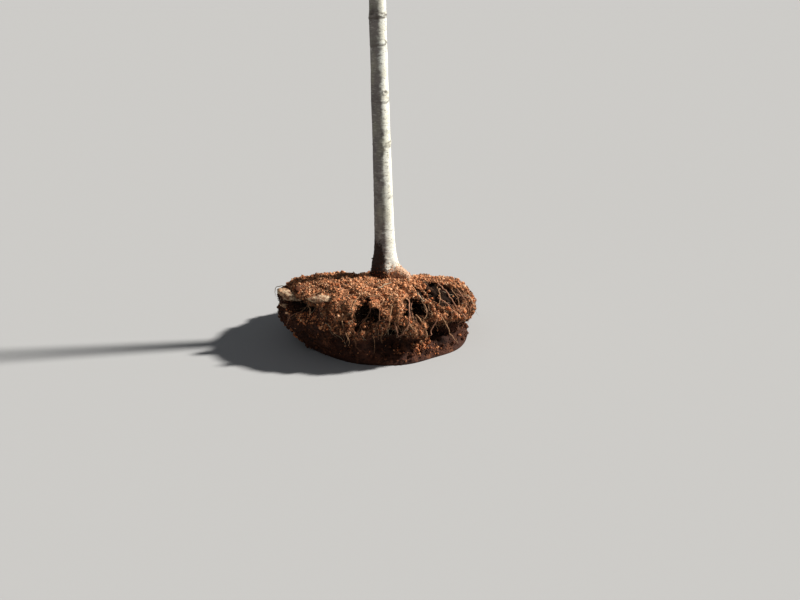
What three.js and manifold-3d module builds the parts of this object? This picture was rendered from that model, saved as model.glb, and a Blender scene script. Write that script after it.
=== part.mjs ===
// A young shade tree lifted with its root ball, bare in its dormant season, on the ball's flat underside.
// Millimetres, +Z up. The origin is on the underside, straight below the foot of the trunk.
// -Y is the front, where the ball is torn open and strands of root hang down. It is longest towards -X.
// The crown is grown by a seeded rule: boughs stand round the trunk, each runs on as the stem of a mass of
// twigs, and each mass keeps to the space that is nearer to its own stem than to any other.

import * as THREE from "three";
import { mergeVertices } from "three/addons/utils/BufferGeometryUtils.js";
import Module from "manifold-3d";

// Root ball
const BALL_DEPTH = 270;
const WIDEST_HEIGHT = 150;
const BALL_RADIUS = 378;
const LONG_SIDE = 45;
const OVAL = 24;
const BACK_SIDE = 12;
const UNDERSIDE_SHARE = 0.82;
const UNDERCUT_LEFT = 0.13;
const SEAT_FRONT = 104;
const SEAT_BACK = 74;
const SHOULDER_FRONT = 3.4;
const SHOULDER_BACK = 1;
const TOP_FRONT = 2.5;
const TOP_BACK = 1;
const TOP_FALL = 0.33;
const FALL_FROM = -55;
const FALL_SOFTNESS = 30;
const TOP_TILT = 0.05;
const BACK_DROP = 30;
const LUMP = 9;
const BALL_SEGMENTS = 48;
const BALL_ROWS = 21;
const FRONT_FINENESS = 0.35;
const MAT_OVERHANG = 30;
const MAT_OVERHANG_LEFT = 8;
const MOUND = 14;
const TOP_ROWS_SHARE = 0.5;
const SIDE_ROWS_SHARE = 0.88;
const STRANDS = 12;
const STRAND_STEPS = 6;
const CUT_ROOT_INSIDE = 60;
const CUT_ROOT_DIP = 42;

// Trunk
const TRUNK_HEIGHT = 3650;
const FOOT_RADIUS = 39.5;
const TIP_RADIUS = 7;
const TAPER = 1;
const LEAN = 0.024;
const FLARE = 24;
const FLARE_HEIGHT = 70;
const BUTTRESS_REACH = 36;
const BUTTRESS_HEIGHT = 26;
const TRUNK_SIDES = 16;
const TRUNK_STEPS = 28;
const TRUNK_SUNK = 50;

// Crown
const FIRST_BOUGH = 1500;
const LAST_BOUGH = 3300;
const BOUGHS = 17;
const LOWEST_LIMB = 1330;
const LIMB_SHORTENING = 0.45;
const LOWEST_RISE = 36;
const RISE_GAIN = 22;
const LIMB_STEPS = 12;
const BOUGH_STEPS = 5;
const BOUGH_SIDES = 6;
const LIMB_TIP = 1.6;
const UPPER_MASSES = 6;
const FIRST_UPPER_MASS = 2780;
const LAST_UPPER_MASS = 3560;
const LONGEST_UPPER_STEM = 520;
const UPPER_STEM_RADIUS = 5.5;
const LEADER_LENGTH = 820;
const STEM_STEPS = 8;
const GOLDEN_ANGLE = 137.5;
const SHOOTS_PER_STEM = 10;
const SHOOT_REACH = 0.62;
const SHOOT_STEPS = 3;
const SHOOT_RADIUS = 4;
const TWIGS_PER_SHOOT = 6;
const TWIG_REACH = 0.3;
const TWIG_STEPS = 2;
const TWIG_RADII = [2.2, 2, 1.6];
const SOLID_SHOOT_EVERY = 2;
const SOLID_TWIGS = [1, 3];
const SOLID_UPPER_TWIGS = [2];
const CROWN_SEED = 4127;

// How fast a growing line lifts towards the light, and how far it sways at each step.
const LIMB_GROWTH = { lift: 0.5, sway: 0.18 };
const UPPER_GROWTH = { lift: 0.6, sway: 0.16 };
const LEADER_GROWTH = { lift: 0.1, sway: 0.07 };
const SHOOT_GROWTH = { lift: 0.35, sway: 0.22 };

const CLEARANCE = 0.3;
const SPACE_MARGIN = 4;

const wasm = await Module();
wasm.setup();

const degrees = THREE.MathUtils.degToRad;
const bark = new THREE.MeshStandardMaterial({ color: 0xb9b3a2, roughness: 0.8, metalness: 0 });
const twigBark = new THREE.MeshStandardMaterial({ color: 0x7a6a5c, roughness: 0.75, metalness: 0 });
const soil = new THREE.MeshStandardMaterial({ color: 0x7d5540, roughness: 0.95, metalness: 0 });
const cutWood = new THREE.MeshStandardMaterial({ color: 0xc9b391, roughness: 0.85, metalness: 0 });

// Random numbers from 0 to 1 that are the same for the same seed.
function seededRandom(seed) {
  let state = seed >>> 0;
  return () => {
    state = (state + 0x6d2b79f5) >>> 0;
    let mixed = Math.imul(state ^ (state >>> 15), state | 1);
    mixed ^= mixed + Math.imul(mixed ^ (mixed >>> 7), mixed | 61);
    return ((mixed ^ (mixed >>> 14)) >>> 0) / 4294967296;
  };
}

// The seed of a limb's child, from the limb's own seed and the child's number.
const childSeed = (seed, index) => (Math.imul(seed, 31) + index * 7919 + 17) >>> 0;

// Joining and cutting of closed geometries.
function solidOf(geometry) {
  geometry.deleteAttribute("normal");
  geometry.deleteAttribute("uv");
  const welded = mergeVertices(geometry, 1e-4);
  return new wasm.Manifold(
    new wasm.Mesh({
      numProp: 3,
      vertProperties: new Float32Array(welded.attributes.position.array),
      triVerts: new Uint32Array(welded.index.array),
    }),
  );
}

function geometryOf(solid) {
  const { vertProperties, triVerts } = solid.getMesh();
  return new THREE.BufferGeometry()
    .setAttribute("position", new THREE.BufferAttribute(vertProperties, 3))
    .setIndex(new THREE.BufferAttribute(triVerts, 1));
}

// A line that sets out along a heading, lifts towards the light, and sways a little at each step.
function growLine(start, heading, length, steps, { lift, sway }, random) {
  const line = [start.clone()];
  const way = heading.clone().normalize();
  for (let i = 0; i < steps; i++) {
    way.x += sway * (random() - 0.5);
    way.y += sway * (random() - 0.5);
    way.z += sway * (random() - 0.5) + lift / steps;
    way.normalize();
    line.push(line[i].clone().addScaledVector(way, length / steps));
  }
  return line;
}

function headingAt(line, index) {
  const before = line[Math.max(index - 1, 0)];
  const after = line[Math.min(index + 1, line.length - 1)];
  return after.clone().sub(before).normalize();
}

// Any direction square to the heading, chosen the same way every time.
function squareTo(heading) {
  const helper = Math.abs(heading.z) < 0.9 ? new THREE.Vector3(0, 0, 1) : new THREE.Vector3(1, 0, 0);
  return helper.cross(heading).normalize();
}

const headingsOf = (line) => line.map((_, i) => headingAt(line, i));

// A cylinder bent along a line, with a radius for each of the line's points. A last radius of 0 makes a
// pointed end.
function limbSolid(line, radii, sides, headings = headingsOf(line)) {
  const steps = line.length - 1;
  const geometry = new THREE.CylinderGeometry(radii[steps] > 0 ? 1 : 0, 1, 1, sides, steps);
  const frames = [];
  let normal = squareTo(headings[0]);
  for (const along of headings) {
    normal = normal.clone().addScaledVector(along, -normal.dot(along)).normalize();
    frames.push([normal, normal.clone().cross(along)]);
  }
  const position = geometry.attributes.position;
  const place = new THREE.Vector3();
  for (let v = 0; v < position.count; v++) {
    const row = Math.round((position.getY(v) + 0.5) * steps);
    const [x, z] = [position.getX(v), position.getZ(v)];
    const reach = Math.hypot(x, z);
    place.copy(line[row]);
    if (reach > 1e-6) {
      place.addScaledVector(frames[row][0], (x / reach) * radii[row]);
      place.addScaledVector(frames[row][1], (z / reach) * radii[row]);
    }
    position.setXYZ(v, place.x, place.y, place.z);
  }
  return solidOf(geometry);
}

// Shortest distance from a point to a line of points, and how far along the line that is, in points.
function nearestOn(point, line) {
  let best = Infinity;
  let where = 0;
  for (let i = 0; i < line.length - 1; i++) {
    const step = line[i + 1].clone().sub(line[i]);
    const share = THREE.MathUtils.clamp(point.clone().sub(line[i]).dot(step) / step.lengthSq(), 0, 1);
    const distance = point.distanceTo(line[i].clone().addScaledVector(step, share));
    if (distance < best) {
      best = distance;
      where = i + share;
    }
  }
  return [best, where];
}

// Trunk

// The trunk's centre at a height above its foot: it leans towards -X and bends back a little higher up.
function trunkCentre(height) {
  const x = -LEAN * height + 34 * THREE.MathUtils.smoothstep(height, 1000, 3400);
  const y = 10 * Math.sin(height / 760);
  return new THREE.Vector3(x, y, BALL_DEPTH + height);
}

// The trunk's plain radius: an even taper, with a slight swelling where a ring of old buds stands.
function trunkRadius(height) {
  const taper = TIP_RADIUS + (FOOT_RADIUS - TIP_RADIUS) * (1 - height / TRUNK_HEIGHT) ** TAPER;
  const ring = 1.6 * Math.exp(-(((height - 965) / 26) ** 2));
  return taper + ring;
}

// How far the root flare stands out of the plain trunk, round the foot. One buttress root reaches out at
// -25 degrees.
function flareReach(angle, height) {
  const lobes = 1 + 0.16 * Math.cos(3 * angle + 0.7) + 0.12 * Math.cos(5 * angle + 2.2);
  const away = Math.atan2(Math.sin(angle + degrees(25)), Math.cos(angle + degrees(25)));
  const buttress = Math.exp(-((away / 0.36) ** 2)) * Math.exp(-((height / BUTTRESS_HEIGHT) ** 2));
  return FLARE * lobes * Math.exp(-height / FLARE_HEIGHT) + BUTTRESS_REACH * buttress;
}

// Rows stand closer together at the flare than higher up.
const trunkRowHeight = (row) => TRUNK_HEIGHT * (row / TRUNK_STEPS) ** 1.75;

// The trunk, grown by so much on every side. Its foot stands TRUNK_SUNK deep in the ball.
function trunkSolid(extra) {
  const rows = TRUNK_STEPS + 1;
  const geometry = new THREE.CylinderGeometry(1, 1, 1, TRUNK_SIDES, rows);
  const position = geometry.attributes.position;
  for (let v = 0; v < position.count; v++) {
    const row = Math.round((position.getY(v) + 0.5) * rows);
    const height = trunkRowHeight(Math.max(row - 1, 0));
    const [x, y] = [position.getX(v), -position.getZ(v)];
    const angle = Math.atan2(y, x);
    const rim = Math.hypot(x, y) > 1e-6;
    const radius = rim ? trunkRadius(height) + flareReach(angle, height) + extra : 0;
    const centre = trunkCentre(height);
    if (row === 0) centre.z -= TRUNK_SUNK + extra;
    position.setXYZ(v, centre.x + radius * Math.cos(angle), centre.y + radius * Math.sin(angle), centre.z);
  }
  return solidOf(geometry);
}

const trunk = trunkSolid(0);
const trunkRoom = trunkSolid(CLEARANCE);
const trunkLine = Array.from({ length: TRUNK_STEPS + 1 }, (_, row) => trunkCentre(trunkRowHeight(row)));

// Root ball

// Tears in the mat of roots and soil, each a steep-sided pit: bearing, height, half widths round and up the
// ball, and depth.
const tears = [
  { bearing: -46, height: 240, round: 6, up: 17, depth: 55 },
  { bearing: -28, height: 222, round: 9, up: 34, depth: 75 },
  { bearing: -62, height: 200, round: 7, up: 28, depth: 70 },
  { bearing: -41, height: 88, round: 13, up: 46, depth: 80 },
  { bearing: -103, height: 210, round: 6, up: 40, depth: 60 },
  { bearing: -84, height: 88, round: 16, up: 42, depth: 60 },
  { bearing: -120, height: 84, round: 12, up: 40, depth: 30 },
  { bearing: -150, height: 203, round: 13, up: 22, depth: 38 },
  { bearing: -8, height: 190, round: 7, up: 30, depth: 40 },
  { bearing: 35, height: 150, round: 10, up: 40, depth: 35 },
  { bearing: 118, height: 120, round: 12, up: 35, depth: 30 },
];

// The height of the mat's torn lower edge at bearings all round. Below it the bare clay is set back.
const edgeBearings = [-180, -150, -135, -118, -108, -98, -88, -78, -60, -45, -30, 0, 60, 120, 150, 180];
const edgeHeights = [205, 205, 185, 150, 110, 160, 160, 135, 100, 105, 115, 110, 85, 85, 120, 205];

function ballOutline(angle) {
  const long = OVAL * Math.cos(2 * angle) - LONG_SIDE * Math.cos(angle);
  const bumps = 6 * Math.sin(3 * angle + 0.2) + 5 * Math.sin(5 * angle + 2.9) + 3 * Math.sin(9 * angle + 0.4);
  return BALL_RADIUS + long + BACK_SIDE * Math.sin(angle) + bumps;
}

// Clods in the ball's surface: waves in several directions, which add up to an uneven crust.
function lumps(x, y, z) {
  return (
    0.5 * Math.sin(0.061 * x + 0.023 * y + 0.045 * z + 0.4) +
    0.4 * Math.sin(-0.034 * x + 0.069 * y + 0.031 * z + 2.1) +
    0.35 * Math.sin(0.083 * x - 0.047 * y + 0.077 * z + 4.4) +
    0.25 * Math.sin(0.11 * x + 0.096 * y - 0.089 * z + 1.3)
  );
}

function tearDepth(angle, height) {
  let depth = 0;
  for (const tear of tears) {
    const turn = angle - degrees(tear.bearing);
    const away = Math.atan2(Math.sin(turn), Math.cos(turn)) / degrees(tear.round);
    const above = (height - tear.height) / tear.up;
    depth += tear.depth * Math.exp(-((away ** 2 + above ** 2) ** 1.6));
  }
  return depth;
}

function edgeHeight(angle) {
  const bearing = THREE.MathUtils.radToDeg(Math.atan2(Math.sin(angle), Math.cos(angle)));
  const after = Math.max(1, edgeBearings.findIndex((other) => other >= bearing));
  const share = (bearing - edgeBearings[after - 1]) / (edgeBearings[after] - edgeBearings[after - 1]);
  return THREE.MathUtils.lerp(edgeHeights[after - 1], edgeHeights[after], share);
}

// How far the bare clay is set back under the mat: less on the left, and not at all at the underside.
function setBack(angle, height) {
  const turn = angle - degrees(190);
  const left = Math.exp(-((Math.atan2(Math.sin(turn), Math.cos(turn)) / degrees(52)) ** 2));
  const edge = edgeHeight(angle);
  const bare = 1 - THREE.MathUtils.smoothstep(height, edge - 8, edge + 8);
  const depth = THREE.MathUtils.lerp(MAT_OVERHANG, MAT_OVERHANG_LEFT, left);
  return bare * depth * THREE.MathUtils.smoothstep(height, 0, 45);
}

// Soil heaped against the left of the trunk's foot.
const moundHeight = (x, y) => MOUND * Math.exp(-(((x + 74) / 42) ** 2) - ((y + 34) / 46) ** 2);

// How far the top has fallen at a place on the seat. It slopes down to the back from just before the trunk,
// and a little to +X.
function topFall(x, y) {
  const past = y - FALL_FROM;
  return TOP_FALL * 0.5 * (past + Math.hypot(past, FALL_SOFTNESS)) + TOP_TILT * x;
}

// A point of the ball's surface. The share runs from 0 at the top's middle, over the shoulder at
// TOP_ROWS_SHARE and down the side, to 1 at the underside's middle. Top: a seat that falls to the back, then
// a quarter of a squared oval, blunt at the front and a worn straight slope at the back. Side: it draws in to
// the underside, more and more steeply.
function ballPoint(angle, share) {
  const rim = ballOutline(angle);
  const foot = rim * (UNDERSIDE_SHARE + UNDERCUT_LEFT * Math.cos(angle + degrees(35)));
  const back = THREE.MathUtils.smoothstep(Math.sin(angle), -0.2, 0.75);
  const seat = SEAT_FRONT + (SEAT_BACK - SEAT_FRONT) * back;
  const widest = WIDEST_HEIGHT - BACK_DROP * back;
  let reach = 0;
  let height = 0;
  if (share <= TOP_ROWS_SHARE) {
    const turn = (share / TOP_ROWS_SHARE) * (Math.PI / 2);
    const blunt = SHOULDER_FRONT + (SHOULDER_BACK - SHOULDER_FRONT) * back;
    const round = TOP_FRONT + (TOP_BACK - TOP_FRONT) * back;
    const start = Math.min(1, share / 0.04);
    reach = seat * start + (rim - seat) * Math.sin(turn) ** (2 / blunt);
    const level = BALL_DEPTH - topFall(seat * start * Math.cos(angle), seat * start * Math.sin(angle));
    height = widest + (level - widest) * Math.cos(turn) ** (2 / round);
  } else if (share <= SIDE_ROWS_SHARE) {
    const down = (share - TOP_ROWS_SHARE) / (SIDE_ROWS_SHARE - TOP_ROWS_SHARE);
    reach = foot + (rim - foot) * (1 - down ** 2);
    height = widest * (1 - down);
  } else {
    reach = (foot * (1 - share)) / (1 - SIDE_ROWS_SHARE);
  }
  const crust = THREE.MathUtils.smoothstep(reach, seat, seat + 60);
  const side = THREE.MathUtils.smoothstep(height, 0, 30);
  const [x, y] = [reach * Math.cos(angle), reach * Math.sin(angle)];
  const swell = LUMP * lumps(x, y, height) * crust * side;
  const torn = tearDepth(angle, height) * THREE.MathUtils.smoothstep(reach, 100, 170) * side;
  reach += swell - torn - setBack(angle, height);
  height += 0.6 * swell * crust * side;
  const place = new THREE.Vector3(reach * Math.cos(angle), reach * Math.sin(angle), height);
  if (share < TOP_ROWS_SHARE) place.z += moundHeight(place.x, place.y);
  return place;
}

// Shares of the ball's rows: evenly spaced down the front's profile, then one row in under it.
function rowShares() {
  const samples = Array.from({ length: 401 }, (_, i) => (SIDE_ROWS_SHARE * i) / 400);
  const places = samples.map((share) => ballPoint(degrees(-75), share));
  const lengths = [0];
  for (let i = 1; i < places.length; i++) lengths.push(lengths[i - 1] + places[i].distanceTo(places[i - 1]));
  const shares = [];
  for (let row = 0; row < BALL_ROWS; row++) {
    const length = (lengths[400] * row) / (BALL_ROWS - 1);
    shares.push(samples[Math.min(400, lengths.findIndex((other) => other >= length - 1e-6))]);
  }
  return [...shares, 1];
}

// The ball's closed surface. Its columns stand closer together at the torn front than at the back.
function ballSolid() {
  const geometry = new THREE.SphereGeometry(1, BALL_SEGMENTS, BALL_ROWS);
  const position = geometry.attributes.position;
  const shares = rowShares();
  for (let v = 0; v < position.count; v++) {
    const [x, y, z] = [position.getX(v), -position.getZ(v), position.getY(v)];
    const row = Math.round((Math.acos(THREE.MathUtils.clamp(z, -1, 1)) / Math.PI) * BALL_ROWS);
    const pole = row === 0 || row === BALL_ROWS;
    const turn = Math.atan2(y, x);
    const place = ballPoint(pole ? 0 : turn - FRONT_FINENESS * Math.cos(turn), shares[row]);
    position.setXYZ(v, pole ? 0 : place.x, pole ? 0 : place.y, place.z);
  }
  return solidOf(geometry);
}

// Strands of root that hang down the torn front from the shoulder, with both ends sunk in the soil.
function strandSolid(index) {
  const random = seededRandom(childSeed(CROWN_SEED, 900 + index));
  const bearing = degrees(-96 + (index * 112) / STRANDS + 6 * random());
  const from = 0.42 + 0.05 * random();
  const to = 0.62 + 0.16 * random();
  const slant = degrees(14 * (random() - 0.5));
  const radius = 3 + 2.5 * random();
  const line = [];
  for (let i = 0; i <= STRAND_STEPS; i++) {
    const share = from + ((to - from) * i) / STRAND_STEPS;
    const place = ballPoint(bearing + (slant * i) / STRAND_STEPS, share);
    const out = i === 0 || i === STRAND_STEPS ? -12 : radius * (0.6 + 0.8 * random());
    place.x += out * Math.cos(bearing);
    place.y += out * Math.sin(bearing);
    line.push(place);
  }
  const radii = line.map((_, i) => radius * (1 - (0.35 * i) / STRAND_STEPS));
  return limbSolid(line, radii, 4);
}

// Thick roots that were cut when the ball was dug, half sunk in the ball's left shoulder: where each comes
// out of the soil, where its cut end is, and its radius.
const cutRoots = [
  { from: [-350, -142, 238], to: [-412, -150, 231], radius: 18.5 },
  { from: [-223, -242, 260], to: [-278, -258, 241], radius: 14.5 },
  { from: [-384, -146, 191], to: [-408, -160, 189], radius: 8 },
];

function cutRootSolid(root, extra) {
  const from = new THREE.Vector3(...root.from);
  const to = new THREE.Vector3(...root.to);
  const heading = to.clone().sub(from).normalize();
  from.addScaledVector(heading, -CUT_ROOT_INSIDE - extra);
  from.z -= CUT_ROOT_DIP;
  to.addScaledVector(heading, extra);
  const line = [0, 0.34, 0.67, 1].map((share) => from.clone().lerp(to, share));
  const radii = [1.12, 1.06, 1.0, 0.88].map((share) => root.radius * share + extra);
  return limbSolid(line, radii, 9);
}

let ball = ballSolid();
for (let i = 0; i < STRANDS; i++) {
  ball = ball.add(strandSolid(i));
}
for (const root of cutRoots) {
  ball = ball.subtract(cutRootSolid(root, CLEARANCE));
}
ball = ball.subtract(trunkRoom);

// Crown

// A limb's radius at a share of its length, from its start radius to its tip radius.
const limbRadius = (start, tip, share) => tip + (start - tip) * (1 - share) ** 0.9;

// A heading that leaves the trunk at a bearing and rises from level.
function headingOut(bearing, rise) {
  const level = Math.cos(rise);
  return new THREE.Vector3(Math.cos(bearing) * level, Math.sin(bearing) * level, Math.sin(rise));
}

// A whole limb: a bough from the trunk, then the stem of its mass. Both follow one line and one taper.
function makeLimb(index) {
  const share = index / (BOUGHS - 1);
  const seed = childSeed(CROWN_SEED, index);
  const random = seededRandom(seed);
  const height = FIRST_BOUGH + (LAST_BOUGH - FIRST_BOUGH) * share + 40 * (random() - 0.5);
  const bearing = degrees(GOLDEN_ANGLE * index + 24 * random());
  const rise = degrees(LOWEST_RISE + RISE_GAIN * share + 8 * (random() - 0.5));
  const length = LOWEST_LIMB * (1 - LIMB_SHORTENING * share ** 2) * (0.9 + 0.2 * random());
  const heading = headingOut(bearing, rise);
  const line = growLine(trunkCentre(height), heading, length, LIMB_STEPS, LIMB_GROWTH, random);
  const radii = line.map((_, i) => limbRadius(4 + 0.0075 * length, LIMB_TIP, i / LIMB_STEPS));
  return { seed, line, radii };
}

// A smaller limb that leaves the trunk as the stem of a mass, with no bough.
function makeUpperStem(index) {
  const share = index / (UPPER_MASSES - 1);
  const seed = childSeed(CROWN_SEED, 100 + index);
  const random = seededRandom(seed);
  const height = FIRST_UPPER_MASS + (LAST_UPPER_MASS - FIRST_UPPER_MASS) * share;
  const bearing = degrees(GOLDEN_ANGLE * index + 62 + 30 * random());
  const rise = degrees(44 + 14 * share);
  const length = LONGEST_UPPER_STEM * (1 - 0.35 * share);
  const heading = headingOut(bearing, rise);
  const line = growLine(trunkCentre(height), heading, length, STEM_STEPS, UPPER_GROWTH, random);
  const radii = line.map((_, i) => limbRadius(UPPER_STEM_RADIUS, LIMB_TIP, i / STEM_STEPS));
  return { seed, line, radii };
}

// The leader runs on from the trunk's tip. Its first step is upright, so that it meets the tip squarely.
function makeLeader() {
  const seed = childSeed(CROWN_SEED, 200);
  const start = trunkCentre(TRUNK_HEIGHT).add(new THREE.Vector3(0, 0, CLEARANCE));
  const upright = new THREE.Vector3(0, 0, 1);
  const line = growLine(start, upright, LEADER_LENGTH, STEM_STEPS, LEADER_GROWTH, seededRandom(seed));
  line[1].setX(start.x).setY(start.y);
  const radii = line.map((_, i) => limbRadius(TIP_RADIUS, LIMB_TIP, i / STEM_STEPS));
  return { seed, line, radii };
}

// A side shoot of a line: where along it, its turn round it, its angle off it, and its length and radius
// follow from its number and its seed. Shoots get shorter and stand closer to the line towards its tip.
function sideLine(parent, index, count, reach, steps) {
  const seed = childSeed(parent.seed, index);
  const random = seededRandom(seed);
  const share = 0.1 + (0.84 * (index + 0.3 + 0.4 * random())) / count;
  const last = parent.line.length - 1;
  const at = Math.min(share * last, last - 1e-6);
  const row = Math.floor(at);
  const start = parent.line[row].clone().lerp(parent.line[row + 1], at - row);
  const along = headingAt(parent.line, Math.round(at));
  const across = squareTo(along).applyAxisAngle(along, degrees(GOLDEN_ANGLE * index + 360 * parent.turn));
  const off = degrees(50 - 16 * share + 12 * (random() - 0.5));
  const heading = along.multiplyScalar(Math.cos(off)).addScaledVector(across, Math.sin(off));
  const length = reach * (1 - 0.68 * share) * (0.75 + 0.5 * random());
  const line = growLine(start, heading, length, steps, SHOOT_GROWTH, random);
  const thick = parent.radii[row] + (parent.radii[row + 1] - parent.radii[row]) * (at - row);
  return { seed, line, thick, turn: random() };
}

const limbs = Array.from({ length: BOUGHS }, (_, i) => makeLimb(i));
const boughs = limbs.map(({ line, radii }) => ({
  line: line.slice(0, BOUGH_STEPS + 1),
  radii: radii.slice(0, BOUGH_STEPS + 1),
  headings: headingsOf(line).slice(0, BOUGH_STEPS + 1),
}));

// The stem of a limb's mass starts just clear of its bough's tip, and square to the same heading.
function stemOfLimb({ seed, line, radii }) {
  const headings = headingsOf(line).slice(BOUGH_STEPS);
  const stem = line.slice(BOUGH_STEPS).map((place) => place.clone());
  stem[0].addScaledVector(headings[0], CLEARANCE);
  return { seed, line: stem, radii: radii.slice(BOUGH_STEPS), headings };
}

const stems = [
  ...limbs.map(stemOfLimb),
  ...Array.from({ length: UPPER_MASSES }, (_, i) => makeUpperStem(i)),
  makeLeader(),
].map((stem) => ({ ...stem, turn: seededRandom(stem.seed)() }));

// True where a twig, past its first point, keeps to its mass's own space and clear of the trunk and boughs.
function keepsToSpace(own, line, radii) {
  for (let i = 1; i < line.length; i++) {
    const room = radii[i] + SPACE_MARGIN;
    const [home] = nearestOn(line[i], stems[own].line);
    const strays = stems.some((other, n) => n !== own && nearestOn(line[i], other.line)[0] < home + 2 * room);
    if (strays) return false;
    const [fromTrunk, row] = nearestOn(line[i], trunkLine);
    if (fromTrunk < trunkRadius(trunkRowHeight(row)) + room) return false;
    if (boughs.some((bough) => nearestOn(line[i], bough.line)[0] < bough.radii[0] + room)) return false;
  }
  return true;
}

// The same radii with a last one of 0, for a pointed end.
const pointed = (radii) => [...radii.slice(0, -1), 0];

// A mass: its stem, every second side shoot, and a few twigs on each shoot. A twig that strays is left off.
function massSolid(own) {
  const stem = stems[own];
  let mass = limbSolid(stem.line, pointed(stem.radii), 4, stem.headings);
  if (own >= BOUGHS && own < stems.length - 1) mass = mass.subtract(trunkRoom);
  const stemLength = stem.line[0].distanceTo(stem.line[stem.line.length - 1]);
  const solidTwigs = own < BOUGHS ? SOLID_TWIGS : SOLID_UPPER_TWIGS;
  for (let i = 0; i < SHOOTS_PER_STEM; i += SOLID_SHOOT_EVERY) {
    const shoot = sideLine(stem, i, SHOOTS_PER_STEM, SHOOT_REACH * stemLength, SHOOT_STEPS);
    const thick = Math.min(0.8 * shoot.thick, SHOOT_RADIUS);
    shoot.radii = shoot.line.map((_, n) => limbRadius(thick, LIMB_TIP, n / SHOOT_STEPS));
    if (!keepsToSpace(own, shoot.line, shoot.radii)) continue;
    mass = mass.add(limbSolid(shoot.line, pointed(shoot.radii), 3));
    for (const n of solidTwigs) {
      const twig = sideLine(shoot, n, TWIGS_PER_SHOOT, TWIG_REACH * stemLength, TWIG_STEPS);
      if (!keepsToSpace(own, twig.line, TWIG_RADII)) continue;
      mass = mass.add(limbSolid(twig.line, pointed(TWIG_RADII), 3));
    }
  }
  return mass.decompose().reduce((most, piece) => (piece.volume() > most.volume() ? piece : most));
}

const two = (number) => String(number + 1).padStart(2, "0");

function massName(own) {
  if (own === stems.length - 1) return "leader_twigs";
  return own < BOUGHS ? "twigs_" + two(own) : "upper_twigs_" + (own - BOUGHS + 1);
}

function named(name, solid, material) {
  const mesh = new THREE.Mesh(geometryOf(solid), material);
  mesh.name = name;
  return mesh;
}

const tree = new THREE.Group();
tree.add(named("root_ball", ball, soil));
cutRoots.forEach((root, i) => tree.add(named("cut_root_" + (i + 1), cutRootSolid(root, 0), cutWood)));
tree.add(named("trunk", trunk, bark));
boughs.forEach(({ line, radii, headings }, i) =>
  tree.add(named("bough_" + two(i), limbSolid(line, radii, BOUGH_SIDES, headings).subtract(trunkRoom), bark)),
);
stems.forEach((_, own) => tree.add(named(massName(own), massSolid(own), twigBark)));

export default tree;
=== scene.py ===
import math
from functools import lru_cache

import bpy
import numpy as np
from bpy.props import FloatProperty, FloatVectorProperty, IntProperty, PointerProperty
from bpy.types import Operator, Panel, PropertyGroup
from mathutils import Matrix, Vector


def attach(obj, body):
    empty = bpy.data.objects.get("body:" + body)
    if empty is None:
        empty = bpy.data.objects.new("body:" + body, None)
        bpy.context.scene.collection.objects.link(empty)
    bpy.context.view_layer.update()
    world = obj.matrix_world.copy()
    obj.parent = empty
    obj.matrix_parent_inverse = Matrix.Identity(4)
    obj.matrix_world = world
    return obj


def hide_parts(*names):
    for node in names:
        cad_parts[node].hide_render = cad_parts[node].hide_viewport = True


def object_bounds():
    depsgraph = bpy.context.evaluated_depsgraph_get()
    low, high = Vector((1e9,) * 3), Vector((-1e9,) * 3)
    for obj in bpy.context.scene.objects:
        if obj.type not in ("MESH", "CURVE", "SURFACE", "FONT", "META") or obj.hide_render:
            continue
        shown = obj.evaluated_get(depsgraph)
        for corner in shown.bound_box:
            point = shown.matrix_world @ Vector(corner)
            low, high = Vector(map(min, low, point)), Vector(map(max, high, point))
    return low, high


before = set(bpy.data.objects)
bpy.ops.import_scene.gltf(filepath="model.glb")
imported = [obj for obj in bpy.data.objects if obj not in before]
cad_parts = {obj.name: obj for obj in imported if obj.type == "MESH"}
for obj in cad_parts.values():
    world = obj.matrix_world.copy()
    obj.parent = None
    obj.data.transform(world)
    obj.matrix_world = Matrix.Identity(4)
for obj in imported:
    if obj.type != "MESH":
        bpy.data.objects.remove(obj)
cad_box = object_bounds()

bl_info = {
    "name": "Sapling with root ball",
    "version": (1, 0, 0),
    "blender": (4, 5, 0),
    "location": "View3D > Sidebar > Sapling",
    "description": "Dresses a bare young tree: its torn root ball, its bark and the fine twigs of its crown",
    "category": "Add Mesh",
}

# Lengths are in metres. +Z is up, -Y is the torn front of the ball, and the origin is under the trunk's foot.
# waves and clods take points, the size of their cells and a seed, and waves also a number of octaves.

# The root ball's form, as in the part's source
BALL_DEPTH = 0.27
WIDEST_HEIGHT = 0.15
BALL_RADIUS = 0.378
LONG_SIDE = 0.045
OVAL = 0.024
BACK_SIDE = 0.012
UNDERSIDE_SHARE = 0.82
UNDERCUT_LEFT = 0.13
SEAT_FRONT = 0.104
SEAT_BACK = 0.074
SHOULDER_FRONT = 3.4
SHOULDER_BACK = 1.0
TOP_FRONT = 2.5
TOP_BACK = 1.0
TOP_FALL = 0.33
FALL_FROM = -0.055
FALL_SOFTNESS = 0.03
TOP_TILT = 0.05
BACK_DROP = 0.03
LUMP = 0.009
MAT_OVERHANG = 0.03
MAT_OVERHANG_LEFT = 0.008
MOUND = 0.014
TOP_SHARE = 0.5
SIDE_SHARE = 0.88
STRANDS = 12
STRAND_STEPS = 6
STRAND_END_SUNK = 0.012
STRAND_PARTS = 8
CLEARANCE = 0.0003
# The slow bumps of its outline: how far out, how many round it, and where they start
OUTLINE_BUMPS = ((0.006, 3, 0.2), (0.005, 5, 2.9), (0.003, 9, 0.4))
# The waves of its crust: height, radians to the metre along each axis, and where they start
LUMP_WAVES = (
    (0.5, 61, 23, 45, 0.4),
    (0.4, -34, 69, 31, 2.1),
    (0.35, 83, -47, 77, 4.4),
    (0.25, 110, 96, -89, 1.3),
)
# How far up the side its relief fades out towards the floor
SIDE_FOOT = 0.03
# How many radians a stray length turns a tear, for each metre
STRAY_TURN = 6

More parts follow.
